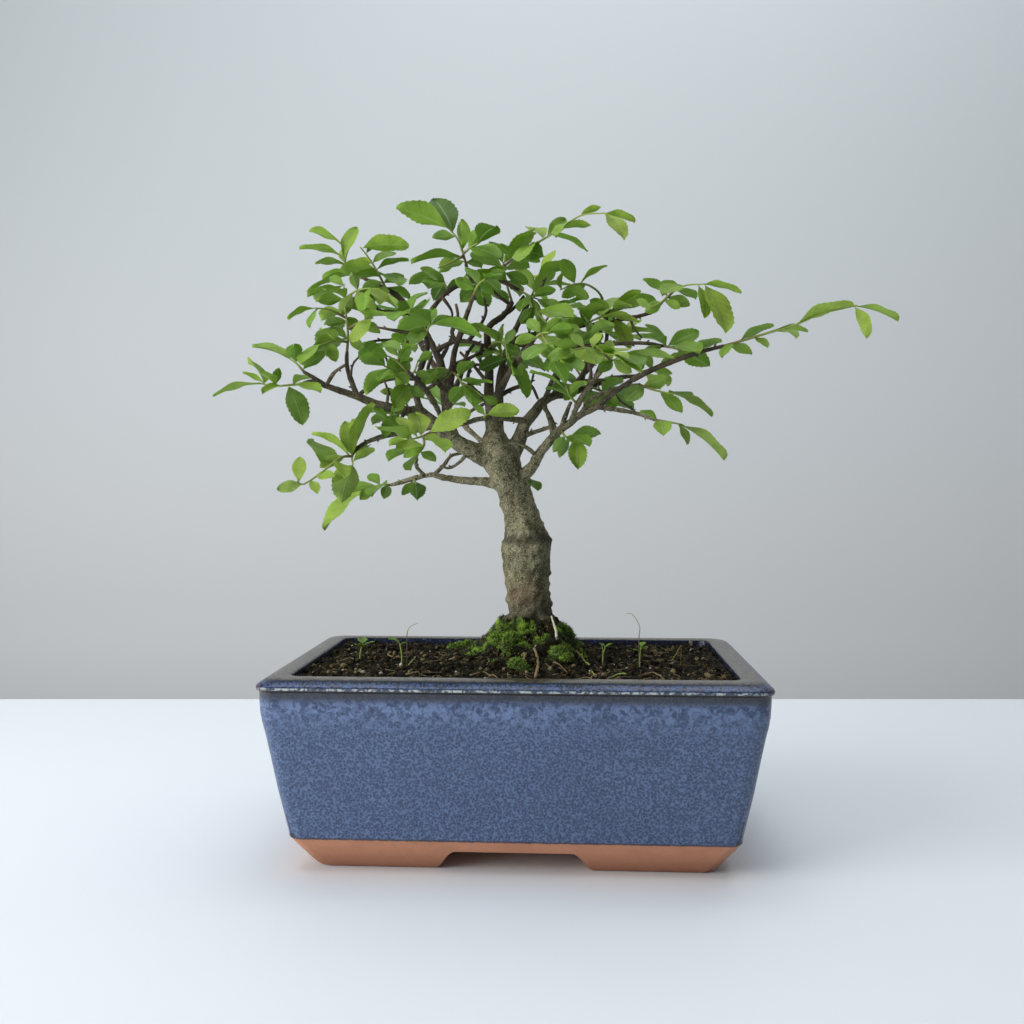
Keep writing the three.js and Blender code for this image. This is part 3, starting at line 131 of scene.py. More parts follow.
# Woody parts. Each point is column, row, depth and diameter in mm.
WOOD = {
    "trunk": [
        [533, 672, 4, 27], [531, 640, 4, 21.5], [530, 612, 4, 18.6], [528, 591, 4, 18.8], [526.5, 562, 4, 21],
        [526, 549, 4, 22.2], [526.5, 540, 4, 21.6], [525, 532, 4, 18.4], [523, 521, 5, 15.8],
        [519, 507, 5, 14.8], [514, 490, 6, 15], [508, 475, 6, 14.6], [501, 460, 6, 16.5], [496, 446, 6, 14],
        [495, 434, 6, 10],
    ],
    "leader": [
        [496, 446, 6, 11], [494, 430, 6, 8], [491, 410, 7, 5.4], [489, 392, 8, 4.6], [489, 375, 9, 4.2],
        [489, 357, 10, 3.8], [488, 329, 12, 3.2], [504, 315, 14, 2.8], [512, 302, 16, 2.2],
    ],
    "second_leader": [
        [496, 440, 7, 7], [499, 410, 11, 4.4], [499, 390, 15, 3.8], [501, 372, 20, 3.4], [507, 350, 25, 2.9],
        [518, 324, 31, 2.3], [530, 300, 36, 1.8],
    ],
    "big_left": [
        [501, 462, 6, 12], [484, 456, 4, 9.6], [465, 447, 1, 7.6], [448, 436, -1, 6.6], [434, 423, -3, 5.6],
        [420, 412, -4, 5], [407, 411, -5, 4.6], [379, 405, -8, 4], [356, 396, -10, 3.4], [329, 387, -13, 2.8],
        [315, 382, -14, 2.3], [303, 384, -15, 1.8],
    ],
    "left_stem": [
        [455, 441, 0, 6], [448, 421, 2, 5], [446, 403, 4, 4.4], [443, 375, 9, 4], [439, 359, 12, 3.6],
        [430, 341, 16, 3.2], [420, 322, 19, 2.8], [404, 302, 23, 2.4], [388, 290, 26, 2], [365, 279, 29, 1.5],
    ],
    "inner_stem": [
        [447, 412, 3, 4], [450, 390, -4, 3.4], [452, 370, -9, 3], [455, 350, -13, 2.6], [462, 330, -18, 2.2],
        [467, 314, -22, 1.8], [474, 295, -27, 1.4],
    ],
    "inner_arch": [
        [435, 352, 14, 2.4], [444, 346, 12, 2.1], [458, 341, 10, 1.8], [476, 343, 7, 1.6], [494, 350, 9, 1.4],
    ],
    "upper_arch": [
        [424, 331, 18, 2.4], [430, 313, 18, 2.1], [446, 293, 16, 1.9], [470, 281, 12, 1.7], [496, 280, 9, 1.5],
        [519, 290, 10, 1.3],
    ],
    "left_rise": [
        [421, 412, -4, 3.6], [416, 393, -10, 2.9], [420, 370, -14, 2.5], [427, 350, -17, 2],
        [426, 337, -19, 1.5],
    ],
    "left_fork": [[326, 386, -13, 2], [316, 379, -12, 1.6], [304, 372, -10, 1.2]],
    "left_upright": [[357, 396, -10, 2.4], [351, 380, -6, 2], [347, 366, -3, 1.7], [347, 352, 0, 1.3]],
    "left_cross": [[326, 386, -13, 1.8], [334, 373, -17, 1.4], [345, 365, -21, 1.1]],
    "right_main": [
        [503, 464, 7, 11], [513, 452, 7, 8.2], [520, 438, 8, 6.6], [524, 425, 9, 5.6], [534, 413, 11, 4.9],
        [543, 402, 13, 4.3], [554, 396, 15, 3.8], [567, 394, 17, 3.4], [580, 390, 19, 3.1], [593, 386, 21, 2.8],
        [607, 380, 23, 2.4], [622, 377, 26, 2], [636, 376, 29, 1.4],
    ],
    "lower_right": [
        [512, 486, 6, 8], [523, 476, 4, 6], [533, 466, 2, 5.2], [537, 458, 1, 4.8], [544, 448, -1, 4.4],
        [552, 438, -3, 4], [561, 429, -4, 3.7], [570, 423, -5, 3.5], [580, 415, -6, 3.3], [598, 406, -8, 3],
        [612, 394, -10, 2.7], [625, 385, -12, 2.5], [639, 376, -14, 2.3], [671, 362, -17, 2],
        [704, 351, -20, 1.6], [724, 346, -22, 1.3],
    ],
    "right_shoot": [[596, 407, -8, 2.2], [616, 409.5, -13, 1.8], [639, 414, -18, 1.5], [655, 420, -22, 1.2]],
    "right_twig": [
        [554, 396, 15, 2.4], [560, 372, 8, 2.2], [572, 350, 2, 1.9], [600, 345, -2, 1.7], [640, 343, -6, 1.5],
        [664, 346, -9, 1.2],
    ],
    "right_upper": [
        [580, 390, 19, 2.3], [586, 362, 21, 2.1], [596, 336, 19, 1.9], [613, 322, 15, 1.8], [640, 316, 9, 1.6],
        [655, 311, 5, 1.4],
    ],
    "right_top": [[593, 386, 21, 2], [602, 360, 28, 1.8], [607, 335, 28, 1.6], [606, 310, 24, 1.4]],
    "right_stub": [[561, 429, -4, 2], [566, 414, -7, 1.7], [571, 402, -9, 1.3]],
    "cross_twig": [[522, 436, 8, 2.2], [538, 431, 6, 1.8], [553, 426, 1, 1.6]],
    "notch_twig": [[553, 437, -3, 2], [550, 421, 1, 1.8], [545, 406, 9, 1.6]],
    "leafy_twig": [[622, 386, -12, 1.8], [640, 385, -15, 1.4]],
    "lower_left": [
        [505, 487, 7, 7], [487, 482, 10, 4.6], [469, 481, 12, 3.7], [447, 478, 14, 3.2], [434, 475, 15, 2.9],
        [425, 476, 16, 2.6], [415, 478, 16, 2.3], [402, 482, 17, 1.9], [391, 485, 18, 1.5],
    ],
    "lower_rise": [[434, 475, 15, 2], [444, 465, 18, 1.6], [451, 456, 21, 1.4], [462, 453, 24, 1.1]],
    "lower_spur": [[425, 476, 16, 1.8], [416, 466, 13, 1.4], [417, 457, 11, 1.2], [412, 447, 9, 1]],
    "left_low": [
        [436, 426, -2, 3], [412, 431, -7, 2.4], [395, 434, -11, 2.1], [381, 437, -13, 1.9],
        [367, 442, -16, 1.6], [356, 449, -18, 1.4],
    ],
    "front_twig": [
        [523, 427, 9, 3.2], [528, 422, 2, 2.6], [519, 420, -5, 2.3], [497, 418, -14, 2.1], [479, 419, -22, 1.9],
        [466, 423, -27, 1.8], [444, 428, -34, 1.6], [430, 433, -38, 1.4],
    ],
    "back_left": [[443, 378, 9, 3.2], [432, 362, 28, 2.7], [420, 342, 45, 2.2], [412, 325, 57, 1.6]],
    "back_middle": [
        [491, 412, 7, 4], [500, 392, 24, 3.3], [513, 366, 43, 2.8], [530, 340, 58, 2.2], [545, 322, 68, 1.6],
    ],
    "back_right": [[567, 394, 17, 3], [580, 378, 34, 2.5], [597, 360, 49, 2], [612, 346, 61, 1.5]],
    "back_low": [
        [500, 466, 9, 4.2], [492, 452, 24, 3.2], [478, 438, 40, 2.6], [462, 424, 54, 2], [452, 415, 64, 1.5],
    ],
    "front_middle": [
        [491, 408, 6, 3.4], [500, 388, -9, 2.8], [514, 366, -23, 2.3], [526, 350, -34, 1.8],
        [534, 340, -42, 1.4],
    ],
    "front_right": [[571, 422, -5, 2.8], [578, 404, -20, 2.3], [590, 385, -32, 1.9], [604, 368, -41, 1.4]],
    "front_left": [[446, 434, -1, 3], [438, 410, -16, 2.5], [424, 388, -28, 2.1], [408, 372, -36, 1.5]],
    "top_spur": [[472, 281, 12, 1.6], [468, 272, 8, 1.4], [466, 264, 4, 1.1]],
}

# Thin twigs that only fill the crown out. The first point is drawn to the nearest wood, and each
# point is column, row and depth behind that wood; the last number is the twig's diameter in mm.
THIN_TWIGS = [
    ([[356, 394, 0], [372, 386, 2], [392, 379, 4], [418, 380, 5], [438, 383, 6]], 1.5),
    ([[393, 379, 4], [389, 366, 0], [384, 353, -4]], 1.1),
    ([[350, 380, 0], [353, 364, -3], [362, 354, -5]], 1.0),
    ([[385, 404, 0], [388, 392, -3], [384, 380, -6]], 1.3),
    ([[437, 350, 0], [425, 342, 2], [405, 342, 4], [385, 340, 5], [368, 342, 4]], 1.6),
    ([[424, 338, 0], [410, 333, -3], [392, 330, -6], [376, 327, -7]], 1.5),
    ([[446, 400, 0], [455, 388, 3], [462, 372, 5], [466, 356, 6], [474, 344, 8]], 2.2),
    ([[448, 392, 0], [436, 382, -4], [428, 370, -6], [432, 356, -8]], 2.0),
    ([[490, 402, 0], [476, 392, -4], [468, 380, -7], [470, 368, -8]], 2.2),
    ([[447, 372, 0], [457, 364, 4], [470, 358, 6], [484, 350, 7]], 2.0),
    ([[492, 384, 0], [482, 376, 4], [474, 366, 6], [460, 352, 8]], 1.8),
    ([[500, 380, 0], [508, 366, 4], [510, 350, 6], [518, 338, 8]], 2.0),
    ([[488, 372, 0], [480, 360, -4], [482, 344, -6]], 1.8),
    ([[456, 344, 0], [452, 332, 4], [458, 318, 6], [456, 304, 7]], 1.8),
    ([[440, 362, 0], [446, 350, 6], [452, 336, 8]], 1.9),
    ([[412, 314, 0], [396, 312, -4], [380, 310, -8], [368, 304, -11]], 1.3),
    ([[450, 378, 0], [459, 370, -3], [472, 365, -4], [486, 364, -2], [496, 357, 0]], 1.4),
    ([[444, 384, 0], [458, 390, -4], [473, 396, -5], [487, 402, -4]], 1.8),
    ([[462, 421, 0], [471, 411, 4], [484, 404, 6], [492, 397, 8]], 1.8),
    ([[498, 398, 0], [512, 389, -3], [522, 386, -4], [531, 385, -4], [538, 399, -3]], 1.9),
    ([[543, 403, 0], [549, 415, -4], [557, 432, -8], [560, 441, -9]], 2.0),
    ([[566, 394, 0], [580, 382, -5], [600, 380, -8], [622, 378, -10]], 1.6),
    ([[604, 382, 0], [612, 392, -3], [622, 402, -5], [634, 410, -6]], 1.2),
    ([[588, 387, 0], [591, 373, -5], [588, 358, -8]], 1.6),
    ([[545, 402, 0], [552, 381, -6], [560, 362, -9], [556, 345, -12]], 2.0),
    ([[512, 342, 0], [530, 346, -4], [550, 345, -6], [572, 342, -8], [592, 343, -8]], 1.7),
    ([[508, 348, 0], [520, 336, -6], [546, 332, -9], [576, 328, -12], [600, 322, -14]], 1.4),
    ([[506, 370, 0], [520, 376, -3], [530, 384, -6], [534, 372, -10]], 1.4),
    ([[538, 458, 0], [530, 450, -3], [520, 444, -5], [509, 443, -7]], 1.8),
    ([[470, 340, 0], [480, 326, -4], [486, 312, -6], [484, 298, -8]], 1.6),
    ([[446, 300, 0], [452, 312, -3], [450, 326, -5]], 1.3),
    ([[490, 330, 0], [498, 318, 4], [512, 310, 6], [524, 296, 8]], 1.9),
    ([[500, 300, 0], [494, 292, -4], [490, 280, -6]], 1.5),
    ([[420, 392, 0], [432, 386, -4], [446, 376, -6], [452, 362, -8]], 1.5),
    ([[404, 412, 0], [398, 424, -3], [390, 436, -5]], 1.4),
    ([[470, 449, 0], [462, 460, -3], [450, 468, -5], [440, 466, -7]], 1.5),
    ([[580, 416, 0], [590, 400, -4], [606, 392, -7], [622, 388, -9]], 1.6),
    ([[628, 318, 0], [634, 328, -3], [642, 338, -5]], 1.1),
    ([[530, 300, 0], [540, 290, -4], [546, 278, -7]], 1.3),
]

# Roots that dive into the mound: heading in degrees, length and diameter at the trunk in mm.
ROOTS = [[205, 21, 9], [262, 17, 8], [325, 20, 9], [30, 19, 8], [120, 20, 8.5]]

# The course of such a root: share of its length, depth below the ground in mm, and radius as a
# share of its diameter at the trunk.
ROOT_COURSE = [(0, 4, 0.5), (0.35, 0.5, 0.42), (0.68, 0.8, 0.33), (1, 5, 0.24), (1.15, 11, 0.15)]

# Knots and lumps on the trunk: column, row, depth and radius in mm.
KNOBS = [
    [504, 551, 0, 1.5], [549, 540, 4, 1.5], [520, 545, -6, 2.6], [538, 548, -6, 2.2], [511, 541, -4, 2.2],
    [509, 478, 1, 2.4], [519, 500, -2, 2.0], [535, 590, -5, 2.2], [517, 572, -4, 2.4], [545, 600, -1, 2.2],
    [548.6, 573, 3, 1.1], [548.6, 594, 2, 1.1], [507.6, 600, 2, 1.0], [506.8, 583, 3, 1.0], [548, 584, 6, .9],
    [508, 532, 2, 1.2], [542, 524, 4, 1.1], [501.5, 505, 4, 1.1], [529, 507, 4, 1.0], [550, 604, 1, 1.2],
]

# The stems of the leafy shoots. Each point is column, row and depth.
SHOOT_STEMS = {
    "left_tip": [[[301, 384.5, -15.5], [290, 385, -16], [275, 386, -17], [258, 383, -18]]],
    "left_fork": [[[303, 371.5, -10], [297, 364, -9], [290, 359, -8]]],
    "left_cluster": [
        [[347, 350, 0], [348, 335, 4], [346, 315, 8], [344, 298, 12], [344, 284, 14]],
        [[346, 318, 8], [330, 310, 4], [315, 308, 0]],
    ],
    "top_left": [[[363, 278, 29], [352, 274, 30], [345, 262, 29], [341, 244, 28]]],
    "top_left_inner": [[[387, 289, 26], [378, 273, 24], [368, 257, 22], [360, 247, 20]]],
    "top_middle": [
        [[465, 262, 4], [462, 250, 0], [457, 238, -3], [449, 229, -5]],
        [[463, 254, 1], [471, 247, -4], [478, 243, -6]],
    ],
    "arch_left": [[[448, 290, 16], [442, 280, 18], [438, 272, 20]]],
    "arch_under": [[[482, 282, 11], [480, 290, 16]]],
    "top_right": [
        [[511, 300, 16], [507, 285, 12], [504, 270, 8], [503, 262, 5]],
        [[504, 266, 7], [526, 250, 0], [552, 234, -8], [580, 216, -16], [604, 213, -22]],
    ],
    "arch_right": [[[521, 291, 10], [530, 296, 8], [540, 300, 6]]],
    "right_top": [[[606, 308, 24], [600, 294, 21], [588, 285, 17], [575, 284, 14], [560, 290, 12]]],
    "right_hanging": [[[657, 310, 4], [668, 296, -2], [684, 286, -10], [704, 284, -16]]],
    "right_upper": [[[614, 320.5, 15], [612, 312, 12], [607, 306, 10]]],
    "right_serrated": [[[666, 346, -9], [678, 349, -12], [690, 354, -14]]],
    "long_shoot": [
        [[727, 345.5, -22], [741, 341, -23], [768, 333, -25], [795, 325, -27], [821, 314, -29], [854, 306, -31]],
    ],
    "right_leafy": [[[642, 385.5, -15], [658, 391, -18], [674, 394, -20]]],
    "right_shoot": [[[657, 420, -22], [669, 422, -25], [680, 424, -27]]],
    "right_end": [[[638, 375.5, 30], [650, 371, 33], [660, 366, 36]]],
    "low_right": [[[562, 431, -5], [566, 437, -10], [577, 438, -14]]],
    "under_right": [[[598, 388, 21], [602, 394, 16]]],
    "behind_trunk": [[[527, 475, 5], [530, 479, 8], [531, 481, 10]]],
    "lower_left_tip": [[[389, 485.5, 18], [380, 485, 16], [366, 490, 14]]],
    "lower_left_drop": [[[414, 480, 15], [416, 484, 12]]],
    "left_low": [
        [[354, 450, -19], [352, 457, -22], [353, 465, -25]],
        [[352, 456, -22], [340, 458, -25], [322, 472, -27], [304, 484, -29], [297, 481, -30]],
    ],
    "front_left": [[[428, 433.5, -38], [420, 437, -42], [408, 440, -46]]],
    "front_leaf": [[[484, 417, -21], [487, 414, -25]]],
    "left_rise": [[[426, 335, -19], [428, 328, -21], [434, 323, -23]]],
    "left_inner": [[[414, 392, -11], [404, 380, -18], [392, 370, -24], [384, 366, -27]]],
    "left_over": [[[409, 409, -5], [405, 400, -8], [398, 392, -9]]],
    "left_back": [[[411, 323, 58], [404, 314, 64], [396, 309, 70]]],
    "left_back_side": [[[421, 340, 45], [408, 342, 51], [396, 346, 58]]],
    "stem_inner": [[[474, 293, -27], [478, 285, -32], [485, 279, -38]]],
    "middle_dark": [
        [[488, 349, 8], [497, 342, -2], [505, 345, -10], [507, 358, -14]],
        [[490, 347, 6], [497, 351, 10], [502, 354, 14]],
    ],
    "middle_right": [[[535, 338, -43], [540, 334, -48], [549, 332, -53]]],
    "inner_low": [[[452, 372, -10], [459, 378, -16], [463, 386, -19]]],
    "back_top": [[[531, 298, 37], [536, 286, 42], [542, 276, 46]]],
    "back_middle": [[[546, 321, 69], [552, 313, 74], [560, 308, 80]]],
    "back_side": [[[514, 364, 45], [500, 356, 54], [488, 350, 62]]],
    "back_right": [[[613, 344, 62], [620, 338, 68], [626, 333, 74]]],
    "back_low": [[[451, 414, 65], [446, 407, 71], [440, 402, 78]]],
    "back_fork": [[[581, 376, 35], [572, 362, 44], [566, 348, 50]]],
    "front_right": [[[605, 367, -42], [612, 361, -48], [621, 357, -54]]],
    "front_right_low": [[[577, 406, -20], [570, 396, -27], [566, 386, -32]]],
    "right_twig": [[[574, 348.5, 1], [582, 338, -5], [590, 332, -10]]],
    "front_stem": [[[406, 371, -37], [398, 362, -42], [388, 356, -47]]],
}

# Side stems that start at the nearest of a shoot's stems. Their depths are told from there.
MORE_STEMS = {
    "left_cluster": [
        [[345, 300, 0], [356, 291, -5], [369, 288, -9]], [[348, 330, 0], [360, 322, -4], [373, 318, -8]],
        [[348, 342, 0], [336, 341, -5], [322, 344, -9]],
    ],
    "arch_right": [[[530, 297, 0], [536, 310, -5], [546, 322, -8], [560, 328, -10]]],
    "right_upper": [[[612, 312, 0], [598, 318, -5], [582, 325, -9], [566, 331, -12]]],
    "middle_right": [[[542, 334, 0], [549, 345, -4], [561, 359, -6]]],
    "front_right": [[[612, 361, 0], [600, 352, -4], [585, 348, -7], [570, 351, -9]]],
    "left_rise": [[[427, 330, 0], [418, 318, 4], [408, 312, 8]]],
    "inner_low": [
        [[453, 373, 0], [440, 368, -3], [428, 372, -5]], [[462, 383, 0], [472, 388, -3], [482, 396, -5]],
    ],
    "left_inner": [
        [[405, 382, 0], [414, 372, -3], [418, 360, -5]], [[402, 378, 0], [398, 364, 3], [399, 350, 6]],
    ],
    "left_over": [[[408, 407, 0], [398, 414, -4], [388, 420, -6]]],
    "top_middle": [[[463, 256, 0], [452, 262, -4], [438, 268, -7]]],
    "front_left": [[[424, 436, 0], [424, 446, -3], [418, 454, -5]]],
    "under_right": [[[600, 391, 0], [588, 386, -4], [574, 386, -7]]],
    "right_hanging": [[[672, 293, 0], [662, 302, -4], [650, 308, -7]]],
    "front_stem": [[[398, 362, 0], [402, 352, 2], [406, 340, 4]]],
}

# Leaves one by one. Each is the column and row of its base and of its tip, its width as seen, and
# a tone from 0, dark, to 1, pale yellow-green.
SHOOT_LEAVES = {
    "left_tip": [
        [262, 384, 213, 396, 6, .62], [266, 384, 242, 373, 5, .6], [274, 386, 279, 368, 9, .4],
        [288, 386, 303, 425, 21, .42], [294, 385, 321, 393, 9, .55], [284, 386, 262, 393, 6, .6],
    ],
    "left_fork": [[292, 361, 252, 347, 7, .55], [296, 363, 294, 346, 16, .35], [302, 371, 325, 353, 12, .4]],
    "left_cluster": [
        [345, 343, 316, 341, 9, .55], [346, 338, 326, 356, 9, .5], [347, 340, 330, 328, 8, .5],
        [346, 320, 324, 325, 10, .45], [315, 308, 288, 320, 6, .6], [318, 309, 310, 328, 6, .5],
        [341, 300, 317, 301, 12, .5], [344, 290, 307, 296, 7, .55], [346, 308, 373, 297, 22, .55],
        [347, 330, 369, 325, 12, .4], [344, 286, 330, 277, 9, .5],
    ],
    "top_left": [
        [341, 244, 309, 231, 8, .55], [343, 256, 299, 248, 7, .55], [346, 265, 315, 264, 7, .5],
        [343, 256, 357, 227, 13, .5], [352, 274, 322, 281, 9, .5],
    ],
    "top_left_inner": [
        [376, 270, 340, 269, 14, .82], [362, 248, 409, 246, 17, .72], [377, 270, 409, 261, 6, .5],
        [383, 281, 362, 290, 14, .45], [383, 283, 404, 276, 10, .4],
    ],
    "top_middle": [
        [448, 229, 396, 208, 21, .62], [454, 233, 434, 200, 24, .15], [456, 237, 432, 238, 10, .45],
        [464, 250, 461, 219, 13, .6], [468, 250, 479, 231, 14, .55], [478, 244, 495, 228, 20, .15],
        [465, 258, 411, 263, 7, .6], [470, 249, 501, 257, 13, .45],
    ],
    "arch_left": [[444, 284, 433, 301, 17, .05], [440, 276, 409, 284, 11, .45], [438, 273, 452, 262, 9, .5]],
    "arch_under": [[481, 286, 460, 303, 18, .5], [480, 290, 489, 307, 16, .3], [481, 284, 508, 268, 10, .5]],
    "top_right": [
        [504, 264, 536, 233, 14, .6], [503, 263, 489, 243, 11, .15], [504, 268, 470, 255, 13, .55],
        [505, 272, 528, 284, 12, .4], [507, 284, 477, 272, 11, .45], [516, 257, 533, 229, 10, .6],
        [524, 251, 545, 257, 19, .15], [548, 237, 566, 219, 14, .5], [552, 234, 588, 251, 6, .35],
        [560, 229, 591, 225, 8, .65], [580, 216, 601, 207, 7, .72], [603, 213, 635, 223, 8, .75],
        [603, 214, 624, 241, 14, .72],
    ],
    "arch_right": [
        [524, 293, 541, 328, 9, .6], [532, 297, 556, 290, 10, .4], [540, 300, 562, 312, 13, .5],
        [530, 296, 520, 312, 10, .3],
    ],
    "right_top": [
        [575, 284, 562, 259, 15, .35], [580, 284, 607, 265, 6, .5], [562, 289, 562, 273, 6, .5],
        [586, 285, 562, 298, 12, .4], [566, 288, 588, 299, 11, .3],
    ],
    "right_hanging": [
        [668, 296, 643, 279, 9, .3], [660, 305, 634, 297, 10, .3], [698, 284, 705, 318, 11, .8],
        [704, 284, 725, 334, 20, .88], [703, 284, 741, 294, 7, .5], [664, 300, 680, 308, 9, .45],
        [680, 288, 660, 283, 8, .45],
    ],
    "right_upper": [
        [613, 316, 641, 291, 10, .5], [612, 313, 590, 300, 12, .35], [614, 318, 629, 350, 15, .95],
        [608, 307, 583, 312, 12, .4],
    ],
    "right_serrated": [
        [667, 346, 699, 332, 16, .15], [676, 349, 710, 367, 19, .2], [667, 346, 645, 325, 7, .3],
        [690, 354, 722, 342, 9, .35], [684, 351, 668, 366, 9, .4], [666, 346, 644, 336, 8, .3],
    ],
    "long_shoot": [
        [728, 346, 752, 355, 10, .5], [739, 342, 774, 325, 8, .5], [765, 334, 808, 331, 6, .6],
        [796, 324, 854, 305, 11, .78], [854, 306, 898, 322, 6, .7], [854, 306, 867, 338, 12, .75],
        [780, 330, 797, 338, 5, .5],
    ],
    "right_leafy": [
        [643, 385, 668, 378, 14, .45], [645, 386, 624, 401, 16, .3], [660, 391, 682, 413, 13, .4],
        [674, 394, 712, 417, 8, .5], [668, 393, 690, 401, 6, .45],
    ],
    "right_shoot": [
        [660, 420, 664, 436, 18, .45], [657, 419, 640, 411, 7, .45], [678, 424, 724, 461, 9, .62],
        [678, 424, 687, 445, 8, .45],
    ],
    "right_end": [
        [650, 371, 672, 374, 8, .4], [658, 367, 676, 358, 8, .45], [642, 374, 634, 358, 12, .3],
        [652, 370, 643, 353, 10, .35],
    ],
    "low_right": [[569, 437, 601, 434, 14, .3], [565, 436, 553, 452, 12, .3], [577, 438, 578, 470, 19, .55]],
    "under_right": [[601, 392, 589, 411, 19, .4], [601, 391, 618, 406, 15, .3], [602, 394, 611, 411, 7, .3]],
    "behind_trunk": [[530, 479, 538, 491, 11, .45], [531, 481, 526, 496, 8, .45]],
    "lower_left_tip": [
        [380, 485, 369, 474, 11, .4], [388, 486, 384, 499, 11, .3], [376, 486, 350, 493, 12, .5],
        [366, 490, 324, 530, 13, .6],
    ],
    "lower_left_drop": [[416, 482, 417, 501, 19, .2], [415, 482, 402, 495, 9, .3]],
    "left_low": [
        [354, 452, 375, 404, 12, .6], [352, 456, 345, 421, 18, .55], [350, 457, 312, 433, 7, .55],
        [353, 462, 375, 450, 9, .5], [353, 465, 341, 502, 26, .97], [345, 457, 320, 468, 12, .55],
        [352, 465, 333, 483, 10, .5], [326, 469, 313, 443, 22, .5], [299, 482, 300, 457, 14, .6],
        [303, 484, 277, 490, 12, .62], [316, 477, 335, 477, 9, .5], [355, 451, 356, 420, 12, .6],
    ],
    "front_left": [
        [428, 433, 471, 411, 21, .68], [421, 436, 415, 414, 22, .8], [412, 439, 397, 427, 13, .9],
        [408, 440, 389, 446, 8, .6], [424, 435, 441, 441, 8, .6],
    ],
    "front_leaf": [[486, 415, 519, 412, 15, .74], [486, 416, 474, 405, 7, .6]],
    "left_rise": [[434, 323, 395, 335, 20, .45], [433, 324, 481, 338, 13, .45], [430, 327, 434, 309, 12, .4]],
    "left_inner": [
        [386, 367, 363, 346, 24, .25], [402, 378, 389, 359, 14, .45], [388, 368, 366, 395, 15, .5],
        [407, 384, 393, 409, 20, .5], [410, 388, 398, 396, 10, .4],
    ],
    "left_over": [[402, 396, 380, 392, 8, .5], [405, 400, 424, 392, 12, .45], [398, 392, 402, 374, 11, .5]],
    "stem_inner": [[476, 290, 455, 279, 12, .45], [485, 279, 505, 271, 11, .5], [480, 283, 494, 293, 11, .35]],
    "middle_dark": [
        [507, 358, 479, 369, 14, .05], [507, 358, 528, 368, 12, .1], [499, 342, 469, 324, 8, .6],
        [505, 346, 515, 330, 9, .6], [497, 351, 478, 360, 9, .4], [502, 354, 520, 348, 11, .3],
        [506, 352, 545, 371, 13, .35],
    ],
    "middle_right": [
        [538, 336, 567, 356, 15, .6], [548, 332, 574, 328, 12, .5], [541, 334, 528, 320, 12, .55],
        [537, 337, 515, 343, 11, .6],
    ],
    "inner_low": [
        [460, 380, 481, 386, 7, .4], [463, 386, 450, 402, 14, .4], [458, 377, 472, 362, 13, .4],
        [453, 373, 424, 381, 15, .35], [461, 384, 474, 408, 12, .4],
    ],
    "front_right": [
        [619, 358, 674, 359, 8, .7], [613, 360, 632, 373, 13, .6], [609, 363, 580, 356, 14, .75],
        [612, 361, 598, 346, 12, .7],
    ],
    "right_twig": [
        [578, 343, 603, 336, 13, .3], [590, 332, 614, 326, 11, .5], [584, 336, 566, 326, 13, .5],
        [576, 346, 552, 346, 12, .3],
    ],
    "front_stem": [[389, 357, 372, 352, 13, .5], [398, 362, 410, 347, 11, .45]],
}

